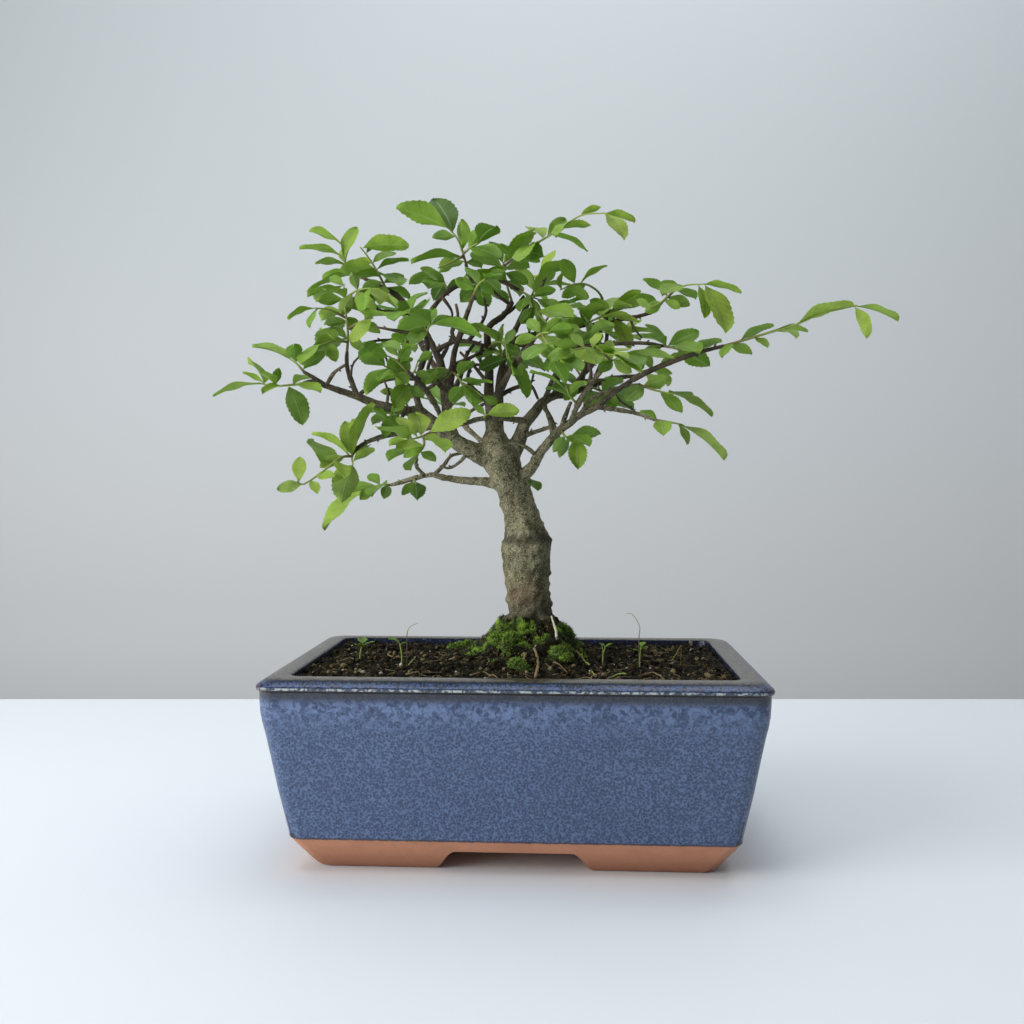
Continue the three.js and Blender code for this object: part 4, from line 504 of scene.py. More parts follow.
# Small leaves between them, in the same form. They are placed when all the others have their room.
MORE_LEAVES = {
    "left_cluster": [
        [345, 285, 316, 303, 11, .7], [352, 293, 341, 315, 14, .8], [356, 291, 371, 319, 18, .82],
        [366, 288, 389, 303, 10, .7], [369, 288, 366, 312, 12, .45], [345, 312, 321, 321, 12, .68],
        [372, 318, 351, 343, 13, .75], [360, 322, 380, 333, 10, .55], [348, 322, 321, 346, 13, .62],
        [340, 341, 309, 353, 11, .66], [330, 342, 336, 362, 12, .6], [322, 344, 303, 366, 10, .55],
        [350, 336, 362, 352, 10, .7], [346, 300, 326, 290, 9, .6], [358, 290, 352, 272, 10, .55],
        [364, 321, 388, 316, 9, .5], [346, 316, 360, 330, 12, .72], [336, 341, 322, 330, 9, .7],
    ],
    "top_left": [[352, 277, 308, 294, 6, .6], [347, 264, 350, 240, 10, .85], [350, 268, 372, 262, 9, .7]],
    "left_over": [
        [400, 412, 384, 437, 14, .35], [392, 417, 372, 424, 9, .45], [404, 403, 392, 414, 9, .35],
        [388, 420, 372, 408, 7, .4], [396, 416, 371, 412, 9, .5], [390, 419, 402, 437, 10, .5],
    ],
    "front_left": [
        [424, 446, 404, 458, 10, .5], [420, 452, 436, 462, 10, .45], [418, 454, 410, 470, 9, .55],
        [424, 440, 446, 452, 9, .6], [418, 438, 396, 418, 12, .75], [409, 440, 378, 430, 9, .6],
        [424, 445, 396, 450, 10, .8], [422, 448, 388, 462, 8, .5],
    ],
    "left_low": [[352, 456, 368, 447, 8, .7], [336, 461, 345, 478, 12, .75], [310, 480, 318, 494, 10, .6]],
    "lower_left_tip": [[372, 488, 360, 500, 11, .5], [384, 485, 372, 497, 10, .45]],
    "top_right": [
        [505, 268, 530, 268, 11, .5], [504, 272, 484, 286, 13, .3], [510, 262, 500, 244, 12, .45],
        [536, 242, 520, 262, 10, .5], [545, 238, 528, 228, 10, .6], [570, 224, 556, 238, 7, .5],
        [508, 280, 520, 296, 10, .3], [516, 257, 540, 262, 9, .35],
    ],
    "long_shoot": [[735, 344, 722, 358, 8, .45], [755, 337, 768, 348, 7, .5]],
    "middle_dark": [
        [504, 354, 503, 324, 8, .7], [498, 345, 486, 330, 9, .4], [507, 356, 516, 372, 10, .2],
        [500, 343, 518, 356, 9, .3], [495, 350, 480, 346, 8, .35], [505, 392, 513, 376, 9, .5],
        [505, 400, 527, 398, 14, .45], [502, 354, 490, 372, 9, .3],
    ],
    "inner_low": [
        [452, 392, 470, 405, 14, .4], [438, 368, 423, 386, 12, .42], [470, 387, 492, 382, 6, .4],
        [482, 396, 498, 404, 9, .35],
    ],
    "left_inner": [
        [400, 372, 380, 378, 10, .45], [390, 368, 380, 383, 9, .4], [399, 352, 407, 376, 12, .35],
        [398, 356, 384, 344, 9, .42], [414, 372, 430, 378, 8, .35], [418, 362, 432, 352, 9, .4],
        [394, 372, 408, 384, 10, .5], [410, 386, 424, 398, 11, .35], [399, 364, 412, 358, 8, .4],
    ],
    "right_serrated": [[665, 345, 640, 357, 9, .35], [672, 348, 700, 353, 10, .35]],
    "front_right": [
        [600, 352, 641, 373, 10, .72], [585, 348, 570, 334, 9, .6], [578, 349, 548, 362, 12, .5],
        [570, 351, 545, 344, 9, .6], [592, 350, 600, 334, 9, .65], [586, 349, 596, 364, 11, .5],
        [606, 358, 628, 350, 8, .7], [572, 351, 572, 372, 11, .4], [610, 362, 560, 364, 9, .85],
        [606, 360, 610, 340, 11, .6], [616, 358, 642, 367, 8, .12], [612, 360, 600, 374, 12, .45],
    ],
    "right_twig": [[603, 338, 565, 345, 12, .12], [580, 340, 596, 352, 11, .35], [586, 334, 580, 316, 12, .5]],
    "under_right": [
        [602, 393, 620, 380, 14, .4], [600, 391, 633, 401, 15, .4], [580, 386, 564, 400, 11, .35],
        [574, 386, 552, 390, 9, .3], [588, 386, 590, 410, 14, .4], [576, 386, 560, 374, 9, .35],
        [612, 395, 633, 410, 12, .4],
    ],
    "top_middle": [[466, 262, 440, 271, 12, .85], [466, 262, 482, 268, 10, .5]],
    "arch_left": [[446, 287, 420, 269, 9, .55], [444, 283, 428, 290, 13, .5], [446, 288, 460, 281, 9, .45]],
    "top_left_inner": [
        [384, 285, 380, 305, 14, .8], [386, 288, 410, 300, 10, .45], [372, 263, 396, 253, 8, .6],
        [380, 277, 354, 276, 10, .6], [379, 274, 400, 287, 9, .4], [366, 254, 384, 236, 8, .6],
    ],
    "left_tip": [[264, 384, 249, 362, 8, .6], [276, 386, 260, 372, 8, .55], [292, 385, 314, 377, 8, .5]],
    "arch_under": [[480, 289, 508, 304, 10, .35], [481, 286, 464, 276, 8, .4]],
    "low_right": [[566, 437, 590, 446, 12, .4], [570, 437, 560, 458, 10, .35]],
    "left_rise": [
        [432, 325, 410, 312, 13, .5], [430, 326, 452, 318, 9, .5], [412, 314, 398, 302, 11, .42],
        [408, 312, 394, 320, 10, .4], [418, 318, 428, 302, 10, .4], [410, 313, 414, 296, 9, .35],
        [428, 332, 412, 346, 10, .45], [422, 324, 398, 326, 10, .6],
    ],
    "stem_inner": [[478, 285, 466, 268, 10, .4], [484, 280, 500, 292, 12, .2]],
    "middle_right": [
        [545, 333, 560, 318, 12, .5], [540, 334, 552, 350, 12, .3], [560, 358, 540, 345, 15, .55],
        [549, 345, 524, 362, 12, .35], [552, 348, 578, 344, 11, .6], [561, 359, 582, 372, 11, .45],
        [556, 353, 548, 372, 10, .3],
    ],
    "arch_right": [
        [536, 298, 548, 312, 10, .45], [538, 312, 573, 319, 15, .6], [536, 306, 520, 324, 13, .2],
        [546, 322, 540, 340, 11, .3], [560, 328, 586, 322, 10, .5], [552, 326, 566, 344, 11, .35],
        [548, 322, 528, 332, 9, .25],
    ],
    "right_upper": [
        [612, 312, 632, 306, 10, .5], [608, 314, 649, 302, 10, .55], [600, 318, 630, 296, 9, .5],
        [598, 318, 612, 334, 11, .5], [582, 325, 562, 318, 10, .4], [574, 328, 584, 344, 11, .45],
        [566, 331, 545, 335, 8, .6], [590, 322, 578, 308, 9, .4], [600, 317, 640, 322, 8, .6],
    ],
    "right_end": [[655, 368, 668, 386, 9, .5], [645, 373, 660, 390, 9, .45]],
    "right_hanging": [
        [662, 302, 645, 312, 12, .4], [668, 297, 690, 306, 12, .45], [684, 287, 662, 296, 12, .4],
        [650, 308, 636, 300, 8, .5], [676, 290, 696, 300, 9, .4],
    ],
    "front_stem": [[402, 352, 384, 344, 10, .5], [406, 341, 420, 334, 9, .45], [405, 345, 392, 334, 9, .55]],
}

# Leaves that are set alternately along a shoot's stems by rule: how many, and their length in mm.
RULED_LEAVES = {
    "left_back": (7, 17), "left_back_side": (5, 16), "stem_inner": (1, 14), "back_top": (8, 17),
    "back_middle": (8, 18), "back_side": (6, 17), "back_right": (8, 17), "back_low": (6, 16),
    "back_fork": (6, 16), "front_right_low": (4, 15), "front_stem": (2, 14),
}

# How much paler than its leaves' own tones a shoot is.
BRIGHT_SHOOTS = {
    "left_low": 0.22, "left_tip": 0.12, "left_fork": 0.1, "left_cluster": 0.06, "top_left": 0.16,
    "lower_left_tip": 0.12, "front_left": 0.08, "right_hanging": 0.2, "right_upper": 0.25, "right_top": 0.25,
    "right_shoot": 0.2, "right_leafy": 0.18, "right_serrated": 0.18, "right_end": 0.2, "right_twig": 0.15,
    "front_right": 0.1, "long_shoot": 0.12, "top_right": 0.12, "back_right": 0.25, "back_top": 0.25,
    "left_back_side": 0.15, "left_over": 0.12, "left_inner": 0.08, "under_right": 0.1, "low_right": 0.1,
    "inner_low": 0.1,
}

# Moss cushions: x, y and radius in mm.
MOSS = {
    "moss_collar": [[-8.5, -14, 4.2], [-5.5, -10.5, 4.2], [-2.5, -16, 4.4], [-4, -20.5, 3.6]],
    "moss_right": [[17.7, -20.2, 4.4], [20.7, -22.8, 3]],
    "moss_front": [[0.5, -32.6, 3.6], [3.2, -35, 2.6]],
    "moss_left": [[-30, 38, 3.4], [-26.5, 41, 3.2], [-33, 33.5, 2.8]],
    "moss_shoulder": [[18.8, -0.6, 4.4], [21.5, 2.5, 3]],
    "moss_back": [[-4, 19, 5], [3, 21.5, 4.4], [11, 18, 4.6], [17.5, 13, 3.8]],
}

# Seedlings: foot, height and lean in mm; leaves as heading, height on the stem, length and width.
SEEDLINGS = {
    "seedling_left": {
        "foot": (-70, -6.5), "height": 8, "lean": (1, 0),
        "leaves": [[100, 1, 5.5, 4.6], [250, 0.7, 5, 4], [10, 0.75, 6, 3.2]],
    },
    "seedling_middle": {
        "foot": (-51, -10), "height": 8.5, "lean": (-1, 1), "leaves": [[170, 1, 5.5, 4.4], [20, 0.85, 3, 2]],
    },
    "seedling_right": {
        "foot": (52, -16.5), "height": 9, "lean": (0.5, 0),
        "leaves": [[70, 1, 4, 3], [200, 0.6, 3.6, 2], [330, 0.8, 3.6, 2.2]],
    },
    "seedling_thin": {
        "foot": (36.5, -12.5), "height": 7.5, "lean": (1, 0), "leaves": [[140, 1, 3.4, 1.8], [30, 0.95, 4, 2]],
    },
}

# What lies on the soil, by the columns and rows where it is seen. A white grain and a pebble have a
# size in mm too; the splinter's points have a depth. The hairs of grass stand in one row.
HAIR_FOOT_ROW = 668
DRY_ROOTS = [
    [[553, 663], [561, 667], [567, 673]], [[458, 657], [441, 661], [423, 664]],
    [[406, 675], [424, 673], [443, 673]], [[600, 668], [612, 671], [626, 669]],
    [[470, 676], [486, 674], [498, 679]], [[575, 681], [590, 679], [602, 684]],
    [[640, 676], [655, 674], [668, 679]], [[388, 655], [398, 658], [409, 657]],
    [[340, 662], [352, 659], [362, 663]],
]
BARE_ROOTS = [[[534, 650], [537, 658], [538, 668], [535.5, 679]], [[526, 655], [524, 664], [527, 674]]]
GREEN_RUNNERS = [
    [[576, 652], [585, 663], [596, 676]], [[608, 680], [617, 676], [626, 675]],
    [[415, 658], [412, 662], [409, 666]],
]
GRASS_HAIRS = [
    [[407, 634], [408, 630], [410.5, 626.5], [418, 623]], [[639, 637], [639.5, 626], [633, 615], [626.5, 613]],
    [[681, 645], [676, 654], [671.5, 661]], [[603, 664], [603, 656], [602, 644]],
]
PALE_SPLINTER = [[551.5, 616, -7], [553.5, 623, -9], [556, 631, -12], [556.5, 637, -15]]
WHITE_GRAINS = [
    [401, 665, .9], [363, 673, 1.0], [381, 673, .8], [343, 670, .8], [557, 640, 1.2], [456, 672, .6],
    [615, 664, .6], [650, 668, .7], [485, 679, .6], [690, 650, .7], [590, 671, .5], [427, 679, .6],
]
PEBBLES = [[691, 642, 1.6], [672, 664, 1.0], [352, 655, 1.1]]


def draw(a, b):
    """A number from 0 to 1 that depends on two whole numbers alone."""
    wave = math.sin(a * 12.9898 + b * 78.233 + 4.13) * 43758.5453
    return wave - math.floor(wave)


def smoothstep(value, low, high):
    share = min(max((value - low) / (high - low), 0.0), 1.0)
    return share * share * (3 - 2 * share)


def unit(vector):
    return vector / np.linalg.norm(vector)


def seen(column, row, depth):
    """The point seen in a picture's column and row, at a depth behind the middle of the pot."""
    ray = FORWARD + RIGHT * (column - PICTURE_MIDDLE) / FOCAL + UP * (PICTURE_MIDDLE - row) / FOCAL
    return EYE + ray * (depth - EYE[1]) / ray[1]


def route_points(route):
    return np.array([seen(*point[:3]) for point in route])


def along_curve(points, shares):
    """Points at shares from 0 to 1 along a smooth curve through the given points."""
    count = len(points)
    before = np.vstack([2 * points[0] - points[1], points, 2 * points[-1] - points[-2]])
    place = np.clip(np.asarray(shares, float), 0, 1) * (count - 1)
    first = np.minimum(place.astype(int), count - 2)
    w = (place - first)[:, None]
    p0, p1, p2, p3 = (before[first + i] for i in range(4))
    t0, t1 = 0.5 * (p2 - p0), 0.5 * (p3 - p1)
    return p1 + t0 * w + (3 * (p2 - p1) - 2 * t0 - t1) * w**2 + (2 * (p1 - p2) + t0 + t1) * w**3


def spaced(points, spacing):
    """Shares from 0 to 1 that lie about a spacing apart along a run of points, and at least six."""
    length = np.linalg.norm(np.diff(points, axis=0), axis=1).sum()
    return np.linspace(0, 1, max(6, int(length / spacing)))


def soil_height(x, y):
    """The height of the soil: it falls to the back, is lumpy, and rises in a mound to the trunk."""
    level = POT_HEIGHT - SOIL_BELOW_RIM - SOIL_BACK_FALL * smoothstep(y, -16, 49)
    lumps = 0.7 * math.sin(0.21 * x + 1.3) * math.cos(0.27 * y) + 0.4 * math.sin(0.53 * x - 0.41 * y)
    reach = MOUND_FRONT_REACH if y < MOUND_Y else MOUND_REACH
    away = ((x - MOUND_X) / MOUND_REACH) ** 2 + ((y - MOUND_Y) / reach) ** 2
    return level + lumps + MOUND_HEIGHT * math.exp(-away)


def crumbly_height(x, y):
    """The soil's height with its crumbs and hollows."""
    rough = noise.fractal(Vector((x, y, 0)) * 0.16, 0.9, 2.1, 5)
    grain = noise.noise(Vector((x, y, 7)) * 0.9)
    return soil_height(x, y) + 0.9 * rough + 0.35 * grain - 0.25


class Signal:
    """A number that varies over a surface. Arithmetic on it adds Math nodes."""

    def __init__(self, finish, socket):
        self.finish, self.socket = finish, socket

    def step(self, operation, *values):
        return self.finish.node("ShaderNodeMath", {"operation": operation}, dict(enumerate(values)))

    def __add__(self, other):
        return self.step("ADD", self, other)

    def __sub__(self, other):
        return self.step("SUBTRACT", self, other)

    def __rsub__(self, other):
        return self.step("SUBTRACT", other, self)

    def __mul__(self, other):
        return self.step("MULTIPLY", self, other)

    def __abs__(self):
        return self.step("ABSOLUTE", self)

    __radd__ = __add__
    __rmul__ = __mul__

    def fraction(self):
        return self.step("FRACT", self)

    def most(self, other):
        return self.step("MAXIMUM", self, other)

    def rise(self, low, high):
        """0 below low, 1 above high, and a smooth step between; the other way with low above high."""
        if low > high:
            return 1 - self.rise(high, low)
        return self.finish.node(
            "ShaderNodeMapRange", {"interpolation_type": "SMOOTHSTEP"},
            {"Value": self, "From Min": low, "From Max": high, "To Min": 0.0, "To Max": 1.0},
        )


class Finish:
    """A surface finish: one material, written as expressions on signals. Its measures are in metres."""

    def __init__(self, name):
        self.material = bpy.data.materials.new(name)
        self.material.use_nodes = True
        self.tree = self.material.node_tree
        self.tree.nodes.clear()
        self.surface = self.tree.nodes.new("ShaderNodeBsdfPrincipled")
        self.output = self.tree.nodes.new("ShaderNodeOutputMaterial")
        self.tree.links.new(self.surface.outputs[0], self.output.inputs["Surface"])

    def feed(self, socket, value):
        if isinstance(value, Signal):
            self.tree.links.new(value.socket, socket)
        else:
            socket.default_value = value

    def node(self, kind, settings=None, inputs=None, output=0):
        made = self.tree.nodes.new(kind)
        for key, value in (settings or {}).items():
            setattr(made, key, value)
        for key, value in (inputs or {}).items():
            self.feed(made.inputs[key], value)
        return Signal(self, made.outputs[output])

    def place(self):
        return self.node("ShaderNodeTexCoord", output="Object")

    def height(self):
        """Metres above the surface that the pot stands on."""
        return self.axis("Z")

    def axis(self, letter):
        return self.node("ShaderNodeSeparateXYZ", inputs={"Vector": self.place()}, output=letter)

    def map(self, name, letter):
        spot = self.node("ShaderNodeUVMap", {"uv_map": name})
        return self.node("ShaderNodeSeparateXYZ", inputs={"Vector": spot}, output=letter)

    def stretched(self, x, y, z):
        return self.node("ShaderNodeVectorMath", {"operation": "MULTIPLY"}, {0: self.place(), 1: (x, y, z)})

    def noise(self, size, detail=2.0, roughness=0.5, distortion=0.0, vector=None):
        """Noise whose blotches are size metres across."""
        return self.node("ShaderNodeTexNoise", inputs={
            "Vector": vector or self.place(), "Scale": 1 / size, "Detail": detail,
            "Roughness": roughness, "Distortion": distortion,
        })

    def cells(self, size, vector=None):
        """The distance to the middle of the nearest of many cells, size metres across."""
        inputs = {"Vector": vector or self.place(), "Scale": 1 / size}
        return self.node("ShaderNodeTexVoronoi", inputs=inputs, output="Distance")

    def mix(self, share, first, second):
        inputs = {"Factor": share, FIRST_COLOUR: first, SECOND_COLOUR: second}
        return self.node("ShaderNodeMix", {"data_type": "RGBA"}, inputs, MIXED_COLOUR)

    def bump(self, height, depth, strength):
        return self.node("ShaderNodeBump", inputs={"Height": height, "Distance": depth, "Strength": strength})

    def set(self, **sockets):
        for key, value in sockets.items():
            self.feed(self.surface.inputs[key.replace("_", " ")], value)
        return self


def rgb(red, green, blue):
    """A screen colour from 0 to 255 as light."""
    def light(value):
        value /= 255
        return value / 12.92 if value <= 0.04045 else ((value + 0.055) / 1.055) ** 2.4
    return (light(red), light(green), light(blue), 1.0)


def end_edit():
    bpy.ops.object.mode_set(mode="OBJECT")


def deselect():
    if bpy.context.object and bpy.context.object.mode != "OBJECT":
        end_edit()
    bpy.ops.object.select_all(action="DESELECT")


def only(piece):
    deselect()
    piece.select_set(True)
    bpy.context.view_layer.objects.active = piece


def edit_all():
    bpy.ops.object.mode_set(mode="EDIT")
    bpy.ops.mesh.select_all(action="SELECT")


def modify(piece, kind, **settings):
    """Adds one modifier to a piece, sets it and applies it."""
    only(piece)
    bpy.ops.object.modifier_add(type=kind)
    modifier = piece.modifiers[-1]
    for key, value in settings.items():
        setattr(modifier, key, value)
    bpy.ops.object.modifier_apply(modifier=modifier.name)


def fixed(piece):
    """The piece with its place, turn and scale put into its mesh."""
    only(piece)
    bpy.ops.object.transform_apply(location=True, rotation=True, scale=True)
    return piece


def in_frame(points):
    return (np.asarray(points) + POT_MIDDLE) * MM


def faces_outward(piece):
    only(piece)
    edit_all()
    bpy.ops.mesh.normals_make_consistent(inside=False)
    end_edit()
    return piece


def dressed(piece, slot, finishes, *nodes, angle=None):
    """A finished piece: smooth, in its finishes, riding on the part in place of its nodes."""
    only(piece)
    if angle is None:
        bpy.ops.object.shade_smooth()
    else:
        bpy.ops.object.shade_smooth_by_angle(angle=math.radians(angle))
    for material in finishes:
        piece.data.materials.append(material.material)
    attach(piece, "root")
    if nodes:
        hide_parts(*nodes)
    return piece


def assembled(name, shapes):
    """One mesh made of shapes, each a dict of points in mm, faces, and maps with a pair for each point."""
    points, faces, parts, maps = [], [], [], {}
    start = 0
    for shape in shapes:
        points.append(in_frame(shape["points"]))
        faces.extend(tuple(corner + start for corner in face) for face in shape["faces"])
        parts.extend([shape.get("part", 0)] * len(shape["faces"]))
        for key, pairs in shape.get("maps", {}).items():
            maps.setdefault(key, []).append(pairs)
        start += len(shape["points"])
    mesh = bpy.data.meshes.new(name)
    mesh.from_pydata(np.vstack(points).tolist(), [], faces)
    mesh.polygons.foreach_set("material_index", parts)
    corners = np.zeros(len(mesh.loops), int)
    mesh.loops.foreach_get("vertex_index", corners)
    for key, pairs in maps.items():
        layer = mesh.uv_layers.new(name=key)
        layer.data.foreach_set("uv", np.vstack(pairs)[corners].ravel())
    piece = bpy.data.objects.new(name, mesh)
    bpy.context.scene.collection.objects.link(piece)
    return piece


def shape_of(points, faces, leaf_map, tone, chance=0.5):
    """Points and faces with a map over the leaf and one tone and chance for the whole shape."""
    tones = np.tile([tone, chance], (len(points), 1))
    return {"points": points, "faces": faces, "maps": {"leaf": leaf_map, "tone": tones}}


def model_of(piece):
    """A piece modelled once, as arrays to copy: its points and its faces. The piece itself goes."""
    points = np.array([vertex.co for vertex in piece.data.vertices])
    faces = [tuple(face.vertices) for face in piece.data.polygons]
    bpy.data.objects.remove(piece)
    return points, faces


def rod(points, radii, sides, wander=0.0, seed=0):
    """A round rod along points, with a radius at each, closed by a point at either end."""
    points, radii = np.asarray(points, float), np.asarray(radii, float)
    tangents = np.gradient(points, axis=0)
    tangents /= np.linalg.norm(tangents, axis=1)[:, None]
    side = unit(np.cross(tangents[0], [0.3, 0.2, 1.0]))
    angles = np.arange(sides) * 2 * math.pi / sides
    rings = []
    for i, (centre, tangent, radius) in enumerate(zip(points, tangents, radii)):
        side = unit(side - tangent * side.dot(tangent))
        other = np.cross(tangent, side)
        reach = np.array([radius * (1 + wander * (2 * draw(seed + i, k + 11) - 1)) for k in range(sides)])
        rings.append(centre + np.outer(np.cos(angles) * reach, side) + np.outer(np.sin(angles) * reach, other))
    start, end = points[0] - tangents[0] * radii[0] * 0.4, points[-1] + tangents[-1] * radii[-1] * 0.4
    body = np.vstack(rings + [start, end])
    count = len(points)
    first, last = count * sides, count * sides + 1
    faces = []
    for k in range(sides):
        after = (k + 1) % sides
        for i in range(count - 1):
            faces.append((i * sides + k, i * sides + after, (i + 1) * sides + after, (i + 1) * sides + k))
        faces.append((first, after, k))
        faces.append((last, (count - 1) * sides + k, (count - 1) * sides + after))
    share = np.repeat(np.linspace(0, 1, count), sides)
    leaf_map = np.column_stack([np.tile(angles / (2 * math.pi), count), share])
    leaf_map = np.vstack([leaf_map, [0, 0], [0, 1]])
    return shape_of(body, faces, leaf_map, 0.5)


def tapered(points, first_radius, last_radius, sides, wander, seed):
    return rod(points, np.linspace(first_radius, last_radius, len(points)), sides, wander, seed)


# The camera, at the place and with the lens that the photograph was taken with.
camera_data = bpy.data.cameras.new("camera")
camera_data.sensor_width = SENSOR
camera_data.lens = FOCAL * SENSOR / PICTURE
camera_data.clip_start = 0.01
camera = bpy.data.objects.new("camera", camera_data)
camera.location = in_frame(EYE)
camera.rotation_euler = (math.pi / 2 - PITCH, 0.0, -YAW)
bpy.context.scene.collection.objects.link(camera)
bpy.context.scene.camera = camera


# The pot, its glazes and the screens over its drain holes.

def resize_selected(inset, next_inset, upright, height):
    """Resizes what is selected from one inset of the pot's outline to the next, about its middle."""
    bpy.ops.transform.resize(value=(
        (POT_LENGTH - 2 * next_inset) / (POT_LENGTH - 2 * inset),
        (POT_DEPTH - 2 * next_inset) / (POT_DEPTH - 2 * inset), upright,
    ), center_override=(POT_MIDDLE[0] * MM, POT_MIDDLE[1] * MM, height * MM))


def extrude_rings(rings):
    """Draws the selected cap on from the rim's edge through rings of inset and height."""
    inset, height = 0.0, EDGE_HEIGHT
    for next_inset, next_height in rings:
        bpy.ops.mesh.extrude_region_move(TRANSFORM_OT_translate={"value": (0, 0, (next_height - height) * MM)})
        resize_selected(inset, next_inset, 1, 0.0)
        inset, height = next_inset, next_height


def foot_cutter(half_top, half_bottom, turned):
    """A bar that cuts the foot from side to side: its sides slope and are rounded above and below."""
    deselect()
    bpy.ops.mesh.primitive_plane_add(size=1, location=in_frame((0, 0, GAP_CUTTER_START)))
    cutter = bpy.context.object
    width, height = 2 * half_bottom, GAP_CUTTER_START
    length = GAP_CUTTER_LENGTH * MM
    cutter.scale = (length, width * MM, 1) if turned else (width * MM, length, 1)
    fixed(cutter)
    edit_all()
    for share, rise in FOOT_GAP_SIDE:
        next_width, next_height = 2 * (half_top + (half_bottom - half_top) * share), rise * FOOT_GAP_HEIGHT
        bpy.ops.mesh.extrude_region_move(TRANSFORM_OT_translate={"value": (0, 0, (next_height - height) * MM)})
        size = (1, next_width / width, 1) if turned else (next_width / width, 1, 1)
        bpy.ops.transform.resize(value=size, center_override=tuple(in_frame((0, 0, 0))))
        width, height = next_width, next_height
    end_edit()
    return faces_outward(cutter)


def cut(piece, cutter):
    """Takes a cutter's form out of a piece. The cutter itself goes."""
    modify(piece, "BOOLEAN", operation="DIFFERENCE", solver="EXACT", object=cutter)
    bpy.data.objects.remove(cutter)


def pot_model():
    """The pot: an outline with round corners drawn down and round its outside, then over the rim."""
    deselect()
    bpy.ops.mesh.primitive_plane_add(size=1, location=in_frame((0, 0, EDGE_HEIGHT)))
    pot = bpy.context.object
    pot.name = "glazed_pot"
    pot.scale = (POT_LENGTH * MM, POT_DEPTH * MM, 1)
    fixed(pot)
    edit_all()
    bpy.ops.mesh.bevel(offset=CORNER_RADIUS * MM, segments=9, affect="VERTICES")
    bpy.ops.mesh.select_all(action="SELECT")
    extrude_rings(OUTSIDE)
    bpy.ops.mesh.select_all(action="DESELECT")
    end_edit()
    level = EDGE_HEIGHT * MM
    for face in pot.data.polygons:
        face.select = len(face.vertices) > 4 and abs(face.center.z - level) < 1e-5
    bpy.ops.object.mode_set(mode="EDIT")
    bpy.ops.mesh.select_mode(type="FACE")
    extrude_rings(INSIDE)
    end_edit()
    faces_outward(pot)
    cut(pot, foot_cutter(FRONT_GAP_TOP, FRONT_GAP_BOTTOM, turned=False))
    cut(pot, foot_cutter(SIDE_GAP_TOP, SIDE_GAP_BOTTOM, turned=True))
    for place in (-DRAIN_PLACE, DRAIN_PLACE):
        deselect()
        bpy.ops.mesh.primitive_cylinder_add(
            vertices=40, radius=DRAIN_RADIUS * MM, depth=DRAIN_CUTTER_LENGTH * MM,
            location=in_frame((place, 0, DRAIN_CUTTER_MIDDLE)),
        )
        cut(pot, fixed(bpy.context.object))
    return pot


